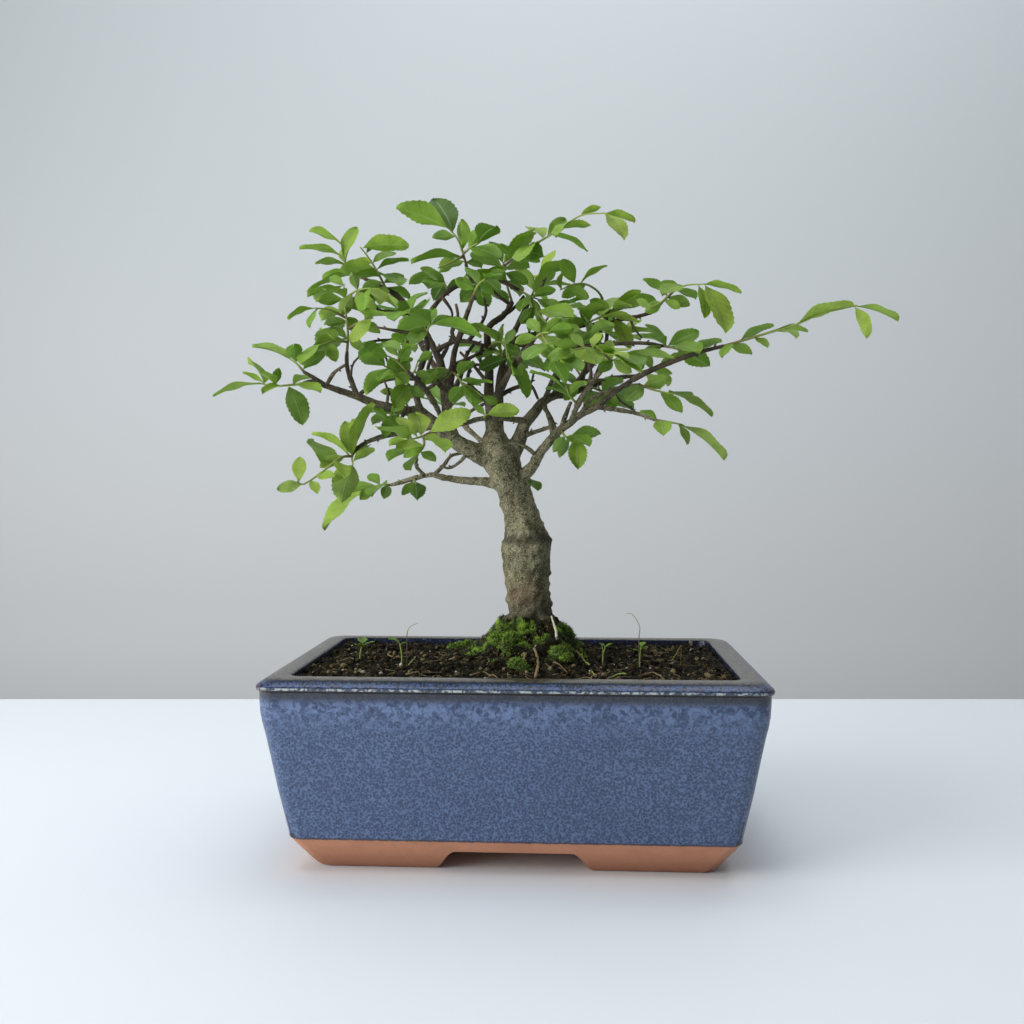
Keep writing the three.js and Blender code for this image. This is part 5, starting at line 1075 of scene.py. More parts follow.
def glaze_finish():
    """A finely mottled blue glaze that breaks grey and brown at the rim and stops above a clay foot; a pale line
    on the rim's lip is a painted highlight, and a dark line under it is painted shadow.
    """
    finish = Finish("mottled_blue_glaze")
    z = finish.height()
    worms = finish.noise(0.0011, detail=2.0, roughness=0.55, distortion=0.9)
    grain = finish.noise(0.0005, detail=1.0)
    blots = finish.noise(0.0024, detail=3.0, roughness=0.62, distortion=0.7)
    clouds = finish.noise(0.03, detail=3.0)
    ragged = 0.003 * (blots - 0.5) + 0.0012 * (worms - 0.5)
    upper = (z + 4 * ragged).rise(0.056, 0.070)
    network = finish.cells(0.00092) + 0.45 * (worms - 0.5)
    fine_blue = finish.mix(network.rise(0.26, 0.84), rgb(52, 68, 101), rgb(94, 114, 150))
    coarse_blue = finish.mix(blots.rise(0.38, 0.62), rgb(42, 56, 88), rgb(112, 133, 174))
    blue = finish.mix(upper * 0.75, fine_blue, coarse_blue)
    blue = finish.mix(grain.rise(0.60, 0.74) * 0.3, blue, rgb(118, 136, 168))
    blue = finish.mix(clouds.rise(0.35, 0.7) * 0.18, blue, rgb(50, 64, 98))
    under_lip = (z + 1.5 * ragged).rise(0.0698, 0.0732) * z.rise(0.0747, 0.0745)
    band = finish.mix(grain.rise(0.5, 0.7), rgb(40, 43, 50), rgb(74, 66, 56))
    colour = finish.mix(under_lip * 0.88, blue, band)
    # A dark line just under the rim's lip: painted shadow.
    under_lip_shadow = z.rise(0.0743, 0.0746) * z.rise(0.0756, 0.0753)
    colour = finish.mix(under_lip_shadow, colour, rgb(34, 28, 24))
    # A pale line along the rim's lip, broken by blots: a painted highlight.
    lip = z.rise(0.0753, 0.0756) * z.rise(0.0766, 0.0762)
    lip_highlight = finish.mix(blots.rise(0.47, 0.58), rgb(70, 80, 94), rgb(176, 184, 184))
    colour = finish.mix(lip, colour, lip_highlight)
    shoulder = (z + 0.1 * ragged).rise(0.0762, 0.0766)
    rim_blue = finish.mix(worms.rise(0.4, 0.6), rgb(14, 22, 44), rgb(62, 86, 134))
    rim_edge = (z + 0.35 * ragged).rise(0.0780, 0.0788).most(z.rise(0.0768, 0.0764))
    colour = finish.mix(shoulder, colour, finish.mix(rim_edge * 0.85, rim_blue, rgb(22, 24, 30)))
    top = (z + 0.12 * ragged).rise(0.07885, 0.07915)
    top_colour = finish.mix(blots.rise(0.4, 0.62), rgb(52, 48, 40), rgb(94, 86, 72))
    top_colour = finish.mix(grain.rise(0.6, 0.72) * 0.5, top_colour, rgb(60, 62, 74))
    colour = finish.mix(top, colour, top_colour)
    x, y = finish.axis("X") - POT_MIDDLE[0] * MM, finish.axis("Y") - POT_MIDDLE[1] * MM
    across = abs(x).rise((POT_LENGTH / 2 - 7) * MM, (POT_LENGTH / 2 - 1) * MM)
    along = abs(y).rise((POT_DEPTH / 2 - 7) * MM, (POT_DEPTH / 2 - 1) * MM)
    worn = across * along * z.rise(0.072, 0.0755) * blots.rise(0.44, 0.56)
    glazed = finish.mix(worn * 0.8, colour, rgb(96, 70, 48))
    line = z - GLAZE_LINE * MM + 0.4 * ragged
    clay_grain = finish.noise(0.0006, detail=2.0)
    clay = finish.mix(z.rise(0.001, 0.012), rgb(158, 108, 84), rgb(196, 138, 108))
    clay = finish.mix(finish.noise(0.008, detail=4.0).rise(0.4, 0.7) * 0.45, clay, rgb(176, 122, 94))
    clay = finish.mix(clay_grain.rise(0.60, 0.75) * 0.45, clay, rgb(140, 92, 68))
    clay = finish.mix(clay_grain.rise(0.36, 0.28) * 0.35, clay, rgb(214, 160, 124))
    roll = line.rise(0.0, 0.0004)
    colour = finish.mix(roll, clay, glazed)
    colour = finish.mix(line.rise(-0.0003, 0.0002) * line.rise(0.0011, 0.0005) * 0.75, colour, rgb(58, 52, 60))
    roughness = roll * (0.22 + 0.14 * worms) + (1 - roll) * 0.86
    relief = roll * (0.5 * worms + 0.3 * blots + 0.4 * clouds) + (1 - roll) * (0.6 * clay_grain)
    return finish.set(Base_Color=colour, Roughness=roughness, Normal=finish.bump(relief, 0.0003, 0.3), IOR=1.5)


def inner_glaze_finish():
    finish = Finish("dark_inner_glaze")
    worms = finish.noise(0.002, detail=3.0, roughness=0.6, distortion=1.4)
    specks = finish.noise(0.0009, detail=1.0).rise(0.66, 0.74)
    colour = finish.mix(worms.rise(0.45, 0.65), rgb(18, 24, 42), rgb(44, 56, 92))
    colour = finish.mix(specks * 0.6, colour, rgb(120, 130, 150))
    return finish.set(Base_Color=colour, Roughness=0.16 + 0.2 * worms, Normal=finish.bump(worms, 0.0003, 0.3))


def pot_made():
    pot = pot_model()
    glaze, inner = glaze_finish(), inner_glaze_finish()
    dressed(pot, "glazed_pot", [glaze, inner], "pot", angle=38)
    middle = Vector(in_frame((0, 0, 0)))
    for face in pot.data.polygons:
        away = face.center - middle
        within_x = abs(away.x) < (POT_LENGTH / 2 - INNER_GLAZE_INSET) * MM
        within_y = abs(away.y) < (POT_DEPTH / 2 - INNER_GLAZE_INSET) * MM
        if within_x and within_y and FLOOR_TOP - 1 < face.center.z / MM < INNER_GLAZE_TOP:
            face.material_index = 1


def screen_finish():
    """Woven plastic mesh, seen through the drain holes from below."""
    finish = Finish("drain_mesh")
    strands_in_a_metre = 400
    x, y = finish.axis("X") * strands_in_a_metre, finish.axis("Y") * strands_in_a_metre
    strands = abs(x.fraction() - 0.5).rise(0.2, 0.3).most(abs(y.fraction() - 0.5).rise(0.2, 0.3))
    colour = finish.mix(strands, rgb(22, 24, 22), rgb(52, 56, 52))
    return finish.set(Base_Color=colour, Roughness=0.55 + 0.2 * strands, Normal=finish.bump(strands, 0.0004, 0.6))


# The soil and its crumbs.

def corner_rounded(x, y, half_length, half_depth, radius):
    """A point of a rectangle moved to the same rectangle with round corners."""
    u = (abs(x) - (half_length - radius)) / radius
    v = (abs(y) - (half_depth - radius)) / radius
    if u <= 0 or v <= 0:
        return x, y
    closer = max(u, v) / math.hypot(u, v)
    return (
        math.copysign(half_length - radius + u * closer * radius, x),
        math.copysign(half_depth - radius + v * closer * radius, y),
    )


def soil_made():
    """The soil: a fine grid raised to its crumbly height, with sides that go down to the pot's floor."""
    deselect()
    bpy.ops.mesh.primitive_grid_add(
        x_subdivisions=SOIL_COLUMNS, y_subdivisions=SOIL_ROWS, size=1, location=in_frame((0, 0, 72)),
    )
    soil = bpy.context.object
    soil.name = "soil_body"
    half_length = POT_LENGTH / 2 - SOIL_EDGE_INSET
    half_depth = POT_DEPTH / 2 - SOIL_EDGE_INSET
    soil.scale = (2 * half_length * MM, 2 * half_depth * MM, 1)
    fixed(soil)
    for vertex in soil.data.vertices:
        x, y, _ = np.array(vertex.co) / MM - POT_MIDDLE
        x, y = corner_rounded(x, y, half_length, half_depth, SOIL_CORNER)
        vertex.co = in_frame((x, y, crumbly_height(x, y)))
    bpy.ops.object.mode_set(mode="EDIT")
    bpy.ops.mesh.select_mode(type="EDGE")
    bpy.ops.mesh.select_all(action="DESELECT")
    bpy.ops.mesh.select_non_manifold()
    inset, level = SOIL_EDGE_INSET, POT_HEIGHT - SOIL_BELOW_RIM
    for next_inset, next_level in SOIL_SIDES:
        bpy.ops.mesh.extrude_edges_move(TRANSFORM_OT_translate={"value": (0, 0, (next_level - level) * MM)})
        resize_selected(inset, next_inset, 0, next_level)
        inset, level = next_inset, next_level
    bpy.ops.mesh.edge_face_add()
    end_edit()
    return faces_outward(soil)


def soil_finish():
    finish = Finish("crumbly_soil")
    lumps = finish.noise(0.003, detail=6.0, roughness=0.7)
    grains = finish.cells(0.0009)
    fibre = finish.noise(0.0012, detail=4.0, roughness=0.7, distortion=2.0)
    colour = finish.mix(lumps.rise(0.42, 0.66), rgb(9, 8, 4), rgb(60, 53, 31))
    colour = finish.mix(fibre.rise(0.61, 0.68) * 0.8, colour, rgb(118, 104, 74))
    colour = finish.mix(grains.rise(0.34, 0.12) * 0.7, colour, rgb(12, 10, 7))
    relief = 0.5 * lumps + 0.3 * (1 - grains) + 0.2 * fibre
    return finish.set(
        Base_Color=colour, Roughness=0.82 + 0.14 * lumps, Normal=finish.bump(relief, 0.0014, 0.9),
        Specular_IOR_Level=0.2,
    )


def crumb_model():
    deselect()
    bpy.ops.mesh.primitive_ico_sphere_add(subdivisions=1, radius=1)
    crumb = bpy.context.object
    for vertex in crumb.data.vertices:
        vertex.co *= 1 + 0.45 * noise.noise(vertex.co * 1.7 + Vector((3, 1, 4)))
    return model_of(crumb)


def turn_matrix(rng):
    """A turn in any direction."""
    w, x, y, z = unit(rng.normal(size=4))
    return np.array([
        [1 - 2 * (y * y + z * z), 2 * (x * y - z * w), 2 * (x * z + y * w)],
        [2 * (x * y + z * w), 1 - 2 * (x * x + z * z), 2 * (y * z - x * w)],
        [2 * (x * z - y * w), 2 * (y * z + x * w), 1 - 2 * (x * x + y * y)],
    ])


def crumb_shapes(model, spots, rng):
    """Copies of a crumb at spots of x, y, z and size, each turned and squeezed its own way."""
    points, faces = model
    return [
        {
            "points": (points * rng.uniform(0.65, 1.25, 3) * size) @ turn_matrix(rng).T + (x, y, z),
            "faces": faces, "maps": {"tone": np.tile([rng.random(), 0.5], (len(points), 1))},
        }
        for x, y, z, size in spots
    ]


def soil_crumbs():
    rng = np.random.default_rng(CRUMB_SEED)
    spots = []
    while len(spots) < CRUMB_COUNT:
        x, y = rng.uniform(-CRUMB_REACH_X, CRUMB_REACH_X), rng.uniform(-CRUMB_REACH_Y, CRUMB_REACH_Y)
        if abs(x) > CRUMB_CORNER_X and abs(y) > CRUMB_CORNER_Y:
            continue
        size = 0.3 + 1.1 * rng.random() ** 4
        spots.append((x, y, crumbly_height(x, y) + 0.25 * size, size))
    return assembled("soil_crumbs", crumb_shapes(crumb_model(), spots, rng))


def crumb_finish():
    finish = Finish("soil_crumb")
    tone = finish.map("tone", "X")
    lumps = finish.noise(0.0015, detail=4.0, roughness=0.6)
    colour = finish.mix(tone.rise(0.2, 1.0), rgb(10, 9, 5), rgb(60, 51, 30))
    colour = finish.mix(tone.rise(0.91, 0.93), colour, rgb(124, 112, 82))
    colour = finish.mix(lumps.rise(0.5, 0.7) * 0.5, colour, rgb(26, 20, 16))
    return finish.set(
        Base_Color=colour, Roughness=0.8 + 0.15 * lumps, Normal=finish.bump(lumps, 0.0006, 0.7),
        Specular_IOR_Level=0.2,
    )


# The wood.

def wood_routes():
    """Every woody route as points and radii, close together, in mm."""
    routes = {}
    for name, route in WOOD.items():
        points = route_points(route)
        shares = spaced(points, WOOD_SPACING)
        given = np.linspace(0, 1, len(route))
        radii = np.interp(shares, given, [point[3] / 2 for point in route])
        routes[name] = (along_curve(points, shares), radii)
    for at, (heading, length, thickness) in enumerate(ROOTS):
        angle = math.radians(heading)
        stations = []
        for share, sink, _ in ROOT_COURSE:
            wander = 2.0 * math.sin(4 * share + at) * share
            x = MOUND_X + math.cos(angle) * length * share - math.sin(angle) * wander
            y = MOUND_Y + math.sin(angle) * length * share + math.cos(angle) * wander
            stations.append((x, y, soil_height(x, y) - sink))
        fine = np.linspace(0, 1, 22)
        widths = np.array([width for _, _, width in ROOT_COURSE]) * thickness
        radii = np.interp(fine, np.linspace(0, 1, len(ROOT_COURSE)), widths)
        routes[f"root_{at}"] = (along_curve(np.array(stations), fine), radii)
    grown = [points for points, _ in routes.values()]
    for at, (route, diameter) in enumerate(THIN_TWIGS):
        points = drawn_from(grown, route)
        shares = spaced(points, WOOD_SPACING)
        routes[f"twig_{at}"] = (along_curve(points, shares), (1.1 - 0.55 * shares) * diameter / 2)
        grown.append(routes[f"twig_{at}"][0])
    return routes


def drawn_from(runs, route):
    """A route whose first point is drawn to the nearest of some runs, its depths told from there."""
    column, row = route[0][:2]
    near = min(
        (point for run in runs for point in run),
        key=lambda point: np.linalg.norm(seen(column, row, point[1]) - point),
    )
    return np.array([near] + [seen(column, row, near[1] + depth) for column, row, depth in route[1:]])


def thick_wood(routes):
    """The trunk and the thicker branches, grown into one skin."""
    shapes = []
    for at, (name, (points, radii)) in enumerate(routes.items()):
        count = int(np.argmax(radii * 2 < THICK)) if (radii * 2 < THICK).any() else len(radii)
        if count < 3:
            continue
        sides, wander = (28, 0.05) if name == "trunk" else (14, 0.07)
        shapes.append(rod(points[:count], radii[:count], sides, wander, seed=100 * at))
    for column, row, depth, radius in KNOBS:
        centre = seen(column, row, depth)
        ends = [centre + (0, 4, 0), centre, centre - (0, 0.8, 0)]
        shapes.append(rod(ends, [radius, radius, 0.7 * radius], 10))
    wood = assembled("trunk_and_limbs", shapes)
    modify(wood, "REMESH", mode="VOXEL", voxel_size=BARK_VOXEL * MM, adaptivity=0)
    modify(wood, "SMOOTH", factor=0.5, iterations=3)
    raise_bark(wood)
    return wood


def raise_bark(wood):
    """Lumps, ridges and scales raised on the wood's own skin, stronger where it is old."""
    mesh = wood.data
    count = len(mesh.vertices)
    places = np.zeros(count * 3)
    mesh.vertices.foreach_get("co", places)
    places = places.reshape(-1, 3) / MM
    normals = np.zeros(count * 3)
    mesh.vertices.foreach_get("normal", normals)
    normals = normals.reshape(-1, 3)
    old = np.clip((200 - places[:, 2]) / 60, 0.35, 1.0)
    lift = np.empty(count)
    for i, place in enumerate(places):
        spot = Vector(place)
        stretched = Vector((place[0], place[1], place[2] * 0.55))
        lumps = noise.noise(spot * 0.22) * 0.45 + noise.noise(stretched * 0.5) * 0.34
        ridges = abs(noise.noise(stretched * 1.0)) * -0.5 + 0.12
        scales = noise.noise(spot * 2.1) * 0.12
        lift[i] = lumps + ridges * 0.6 + scales
    places += normals * (lift * old)[:, None]
    mesh.vertices.foreach_set("co", (places * MM).ravel())
    mesh.update()


def thin_wood(routes):
    """The twigs beyond the grown skin, with buds set alternately."""
    shapes = []
    order = 0
    for at, (name, (points, radii)) in enumerate(routes.items()):
        if name.startswith("root") or name == "trunk":
            continue
        thin = radii * 2 < THICK
        start = max(int(np.argmax(thin)) - 2, 0) if thin.any() else len(radii)
        if len(radii) - start < 3:
            continue
        run, widths = points[start:], radii[start:].copy()
        knots = np.array([1 + 0.16 * max(0.0, math.sin(1.1 * i + at)) ** 3 for i in range(len(run))])
        shapes.append(rod(run, TWIG_SWELL * widths * knots, 8, wander=0.08, seed=500 + 40 * at))
        for i in range(2, len(run) - 1, 3):
            along = unit(run[i + 1] - run[i - 1])
            angle = 2.4 * order
            side = unit(np.cross(along, [math.cos(angle), math.sin(angle), 0.3]))
            foot = run[i] + side * widths[i] * 0.6
            tip = foot + side * (0.7 + widths[i] * 0.6) + along * 1.1
            shapes.append(rod([foot, (foot + tip) / 2 + side * 0.15, tip], [0.45, 0.42, 0.12], 5))
            order += 1
    return assembled("twigs", shapes)


def bark_finish():
    """Grey-olive bark: pale and dark specks, green films and a rusty patch near the ground."""
    finish = Finish("elm_bark")
    long_way = finish.stretched(1, 1, 0.5)
    broad = finish.noise(0.007, detail=4.0, roughness=0.6, vector=long_way)
    medium = finish.noise(0.0022, detail=4.0, roughness=0.65, distortion=0.6)
    fine = finish.noise(0.00062, detail=2.0, roughness=0.6)
    flakes = finish.cells(0.0016, vector=long_way)
    z = finish.height()
    high = z.rise(0.165, 0.21)
    old = finish.mix(broad.rise(0.35, 0.65), rgb(92, 88, 62), rgb(146, 141, 110))
    young = finish.mix(broad.rise(0.35, 0.65), rgb(44, 36, 27), rgb(92, 77, 58))
    colour = finish.mix(high, old, young)
    colour = finish.mix(medium.rise(0.52, 0.62) * 0.8, colour, rgb(56, 50, 34))
    colour = finish.mix(fine.rise(0.56, 0.66) * (1 - high) * 0.66, colour, rgb(188, 184, 157))
    colour = finish.mix(fine.rise(0.45, 0.36) * 0.8, colour, rgb(40, 36, 22))
    film = finish.noise(0.009, detail=5.0, roughness=0.6).rise(0.50, 0.66) * z.rise(0.16, 0.09)
    colour = finish.mix(film * 0.6, colour, rgb(88, 100, 48))
    rust = finish.noise(0.012, detail=3.0).rise(0.50, 0.62) * z.rise(0.118, 0.100)
    colour = finish.mix(rust * 0.65, colour, rgb(112, 78, 58))
    colour = finish.mix(flakes.rise(0.12, 0.04) * 0.35, colour, rgb(60, 52, 42))
    ring = z + 0.012 * (broad - 0.5)
    colour = finish.mix(ring.rise(0.1285, 0.1312) * ring.rise(0.1350, 0.1318) * 0.75, colour, rgb(50, 44, 31))
    colour = finish.mix(z.rise(0.114, 0.098) * 0.5, colour, rgb(54, 46, 31))
    buried = (z + 0.006 * (broad - 0.5) + 0.006 * (medium - 0.5)).rise(0.1, 0.094)
    earth = finish.mix(medium.rise(0.4, 0.6), rgb(20, 17, 11), rgb(50, 48, 26))
    colour = finish.mix(buried * 0.92, colour, earth)
    relief = 0.45 * medium + 0.3 * flakes + 0.25 * fine
    return finish.set(Base_Color=colour, Roughness=0.72 + 0.2 * medium, Normal=finish.bump(relief, 0.0007, 0.75))


# The leaves.

def leaf_blank(columns, stations):
    """A flat leaf two wide and two long: an upper and an under skin that meet all round the margin."""
    skins = []
    for hand in (1, -1):
        deselect()
        bpy.ops.mesh.primitive_grid_add(x_subdivisions=columns, y_subdivisions=stations, size=2)
        skin = bpy.context.object
        for vertex in skin.data.vertices:
            vertex.select = abs(vertex.co.x) < 0.99 and abs(vertex.co.y) < 0.99
        for edge in skin.data.edges:
            edge.select = False
        for face in skin.data.polygons:
            face.select = False
        bpy.ops.object.mode_set(mode="EDIT")
        bpy.ops.mesh.select_mode(type="VERT")
        bpy.ops.transform.translate(value=(0, 0, 0.5 * hand))
        if hand < 0:
            bpy.ops.mesh.select_all(action="SELECT")
            bpy.ops.mesh.flip_normals()
        end_edit()
        skins.append(skin)
    deselect()
    for skin in skins:
        skin.select_set(True)
    bpy.context.view_layer.objects.active = skins[0]
    bpy.ops.object.join()
    edit_all()
    bpy.ops.mesh.remove_doubles(threshold=0.001)
    end_edit()
    return model_of(bpy.context.object)


LEAF = leaf_blank(4, LEAF_STATIONS)
SMALL_LEAF = leaf_blank(2, SMALL_LEAF_STATIONS)


def blade_shape(blade, tone, order, fine=True):
    """A leaf bent, folded and toothed to a blade's base, tip, width and upper side."""
    points, faces = LEAF if fine else SMALL_LEAF
    stations = LEAF_STATIONS if fine else SMALL_LEAF_STATIONS
    u, s, w = points[:, 0].copy(), (points[:, 1] + 1) / 2, points[:, 2] * 2
    margin = np.abs(u) > 0.99
    beat = np.rint(s * stations) % 2
    grown = np.clip((s - 0.05) / 0.95, 0, 1)
    outline = np.sin(np.pi * grown**1.06) ** 0.62 * (0.78 + 0.22 * np.minimum(1, grown / 0.4))
    teeth = np.where(margin, np.where(beat == 1, 1.04, 0.94), 1.0)
    length, width = blade["length"], blade["width"]
    half = np.maximum(outline * width / 2 * teeth, 0.2)
    ahead = np.where(margin & (beat == 1) & (s > 0.1) & (s < 0.9), 0.35 / stations, 0.0)
    s = s + ahead
    along, up = blade["tip"] - blade["base"], blade["up"]
    across = unit(np.cross(up, along))
    fold = (0.06 + 0.10 * draw(order, 5)) * width
    ripple = 0.035 * width * np.sin(s * 11 + 6 * draw(order, 6)) * u
    lift = 0.28 * length * s * (1 - s) + fold * np.abs(u) * np.minimum(1, 3 * s) + ripple
    lift = lift - 0.06 * length * (draw(order, 7) - 0.3) * s**3
    lift = lift + np.where(np.abs(u) < 0.1, -0.10, 0.0) + w * LEAF_THICKNESS / 2
    sway = 0.05 * length * (draw(order, 8) - 0.5) * s * (1 - s) * 4
    body = blade["base"] + np.outer(s, along) + np.outer(u * half + sway, across) + np.outer(lift, up)
    leaf_map = np.column_stack([(u + 1) / 2, s])
    return shape_of(body, faces, leaf_map, np.clip(tone, 0.01, 0.99), draw(order, 9))


def stem_routes(routes, wood_points):
    """The stems of a shoot. The first starts in the middle of the wood nearest to it."""
    stems = [route_points(route) for route in routes]
    away = np.linalg.norm(wood_points - stems[0][0], axis=1)
    stems[0][0] = wood_points[np.argmin(away)]
    return stems


def stem_points(stem):
    return along_curve(stem, np.linspace(0, 1, STEM_SAMPLES + 1))


def nearest_on_stems(stems, column, row):
    """The point of some stems that is nearest to what is seen in a column and row at its own depth."""
    best, least = None, math.inf
    for stem in stems:
        for point in stem_points(stem):
            away = np.linalg.norm(seen(column, row, point[1]) - point)
            if away < least:
                best, least = point, away
    return best


def turned_about(vector, axis, angle):
    """A vector turned by an angle about an axis one long."""
    return (
        vector * math.cos(angle) + np.cross(axis, vector) * math.sin(angle)
        + axis * axis.dot(vector) * (1 - math.cos(angle))
    )


def blade_up(base, tip, seen_width, width):
    """Which way is up for a blade: it is turned about its midrib until it looks as wide as it is seen."""
    along = unit(tip - base)
    across = unit(np.cross(along, unit(base - EYE)))
    facing = unit(np.cross(across, along))
    turn = math.acos(min(1, seen_width / width))
    first, second = (turned_about(facing, along, angle) for angle in (turn, -turn))
    best = first if abs(first[2]) >= abs(second[2]) else second
    return -best if best[2] < 0 else best


def seen_leaf(stems, leaf, order):
    """A leaf that looks as long and wide as it is seen: its tip lies so far forward or back."""
    base = nearest_on_stems(stems, leaf[0], leaf[1])
    flat_tip = seen(leaf[2], leaf[3], base[1])
    seen_width = leaf[4] * np.linalg.norm(base - EYE) / FOCAL
    seen_length = np.linalg.norm(flat_tip - base)
    length = max(seen_length * 1.03, seen_width / LEAF_ASPECT)
    lean = math.sqrt(length**2 - seen_length**2) * (-1 if draw(order, 1) < 0.62 else 1)
    return {"base": base, "spot": leaf[2:4], "depth": base[1] + lean, "seen_width": seen_width, "tone": leaf[5]}


def ruled_leaves(stems, count, usual_length, order):
    """Leaves set by rule: alternately to each side along the stem, with one at its end."""
    leaves = []
    for i in range(count):
        stem = stems[i % len(stems)]
        along = 1 - 0.9 * i / count
        base = along_curve(stem, [along])[0]
        ends = along_curve(stem, [max(along - 0.0001, 0), min(along + 0.0001, 1)])
        tangent = unit(ends[1] - ends[0])
        side = unit(np.cross(tangent, [0, 0, 1]))
        hand = 0.15 if i == 0 else (1 if i % 2 else -1)
        heading = tangent * (1 if i == 0 else 0.45) + side * 0.9 * hand
        heading = unit(heading + np.array([0, 0, 0.45 - 0.8 * draw(order + i, 2)]))
        length = usual_length * (0.8 + 0.4 * draw(order + i, 3))
        tone = 0.25 + 0.4 * draw(order + i, 4)
        leaves.append({"base": base, "heading": heading, "length": length, "tone": tone})
    return leaves


def level_up(along):
    """The way that is square to a heading and points up the most."""
    return unit(np.array([0, 0, 1.0]) - along * along[2])


def placed_blade(leaf, shift):
    """A leaf's blade: along its heading, or with its tip where it is seen, shifted in depth."""
    base = leaf["base"]
    if "heading" in leaf:
        along = unit(base + leaf["heading"] * leaf["length"] + (0, shift, 0) - base)
        tip = base + along * leaf["length"]
        length, width = leaf["length"], LEAF_ASPECT * leaf["length"]
        return {"base": base, "tip": tip, "length": length, "width": width, "up": level_up(along)}
    tip = seen(*leaf["spot"], leaf["depth"] + shift)
    length = np.linalg.norm(tip - base)
    width = max(LEAF_ASPECT * length, leaf["seen_width"])
    up = blade_up(base, tip, leaf["seen_width"], width)
    return {"base": base, "tip": tip, "length": length, "width": width, "up": up}


def blade_points(blade):
    """Points spread over a blade, to keep it clear of other things."""
    along = blade["tip"] - blade["base"]
    across = unit(np.cross(blade["up"], along))
    return np.array([
        blade["base"] + along * share + across * (0 if share == 1 else side) * blade["width"]
        for share in (0.35, 0.58, 0.8, 1) for side in (-0.32, 0, 0.32)
    ])


def placed_leaves():
    """Every blade of every shoot, each moved in depth until it is clear of wood, stems and leaves."""
    spots, keeps, owners, leafy = [], [], [], []

    def keep_clear(points, keep, owner, leaf):
        spots.extend(points)
        keeps.extend(np.broadcast_to(keep, len(points)))
        owners.extend([owner] * len(points))
        leafy.extend([leaf] * len(points))

    wood_points = []
    for route in WOOD.values():
        points = route_points(route)
        wood_points.append(along_curve(points, np.linspace(0, 1, WOOD_SAMPLES + 1)))
        count = 6 * (len(route) - 1)
        shares = np.linspace(0, 1, count + 1)
        widths = np.interp(shares, np.linspace(0, 1, len(route)), [point[3] for point in route])
        keep_clear(along_curve(points, shares), widths / 2 + WOOD_CLEARANCE, "", False)
    wood_points = np.vstack(wood_points)
    shoots = {
        name: {"stems": stem_routes(routes, wood_points), "blades": []} for name, routes in SHOOT_STEMS.items()
    }
    for name, routes in MORE_STEMS.items():
        runs = [stem_points(stem) for stem in shoots[name]["stems"]]
        shoots[name]["stems"] += [drawn_from(runs, route) for route in routes]
    for name, shoot in shoots.items():
        for stem in shoot["stems"]:
            keep_clear(along_curve(stem, np.linspace(0, 1, 21)[2:]), STEM_RADIUS + WOOD_CLEARANCE, name, False)

    def settle(name, leaf):
        others = np.array([leaf or owner != name for owner, leaf in zip(owners, leafy)])
        field, margins = np.array(spots)[others], np.array(keeps)[others]
        best, best_room, best_points = None, -math.inf, None
        for shift in DEPTH_TRIES:
            blade = placed_blade(leaf, shift)
            points = blade_points(blade)
            room = min((np.linalg.norm(field - point, axis=1) - margins).min() for point in points)
            if room > best_room:
                best, best_room, best_points = blade, room, points
            if room >= 0:
                break
        best["tone"] = leaf["tone"]
        shoots[name]["blades"].append(best)
        keep_clear(best_points, LEAF_CLEARANCE, name, True)

    order = 0
    for name, shoot in shoots.items():
        stems = shoot["stems"]
        leaves = [seen_leaf(stems, leaf, order + i) for i, leaf in enumerate(SHOOT_LEAVES.get(name, []))]
        order += len(leaves)
        ruled = ruled_leaves(stems, *RULED_LEAVES.get(name, (0, 0)), order)
        order += len(ruled)
        for leaf in leaves + ruled:
            settle(name, leaf)
    for name, extra in MORE_LEAVES.items():
        for leaf in extra:
            order += 1
            settle(name, seen_leaf(shoots[name]["stems"], leaf, order))
    return shoots


def leaf_finish():
    """A leaf lit from both sides, with a pale midrib and side veins; its tone is its own."""
    finish = Finish("elm_leaf")
    tone, chance = finish.map("tone", "X"), finish.map("tone", "Y")
    u, s = finish.map("leaf", "X"), finish.map("leaf", "Y")
    side = abs(2 * u - 1)
    midrib = side.rise(0.085, 0.03) * s.rise(1.0, 0.8)
    slant = (s * 8.5 - side * 1.5).fraction()
    vein = abs(slant - 0.5).rise(0.10, 0.03) * side.rise(0.04, 0.1) * side.rise(1.0, 0.82)
    blotches = finish.noise(0.004, detail=3.0)
    fine = finish.noise(0.0009, detail=2.0)
    green = finish.mix(tone.rise(0.0, 0.45), rgb(60, 95, 30), rgb(132, 174, 62))
    green = finish.mix(tone.rise(0.45, 0.9), green, rgb(192, 218, 94))
    green = finish.mix(chance.rise(0.55, 1.0) * 0.5, green, rgb(148, 175, 108))
    green = finish.mix(blotches.rise(0.45, 0.7) * 0.3, green, rgb(68, 104, 34))
    green = finish.mix(fine.rise(0.6, 0.75) * 0.2, green, rgb(150, 186, 90))
    green = finish.mix(vein * 0.38, green, rgb(150, 190, 96))
    green = finish.mix(midrib * 0.75, green, rgb(178, 204, 128))
    finish.set(
        Base_Color=green, Roughness=0.40 + 0.18 * blotches,
        Normal=finish.bump(0.25 * fine - 0.7 * vein - 0.9 * midrib, 0.00022, 0.8),
        Specular_IOR_Level=0.3,
    )
    glow = finish.node("ShaderNodeBsdfTranslucent", inputs={"Color": rgb(153, 187, 62)})
    blend = finish.node("ShaderNodeMixShader", inputs={"Fac": 0.38})
    _, lit, shone_through = blend.socket.node.inputs
    finish.tree.links.new(finish.surface.outputs[0], lit)
    finish.tree.links.new(glow.socket, shone_through)
    finish.tree.links.new(blend.socket, finish.output.inputs["Surface"])
    return finish


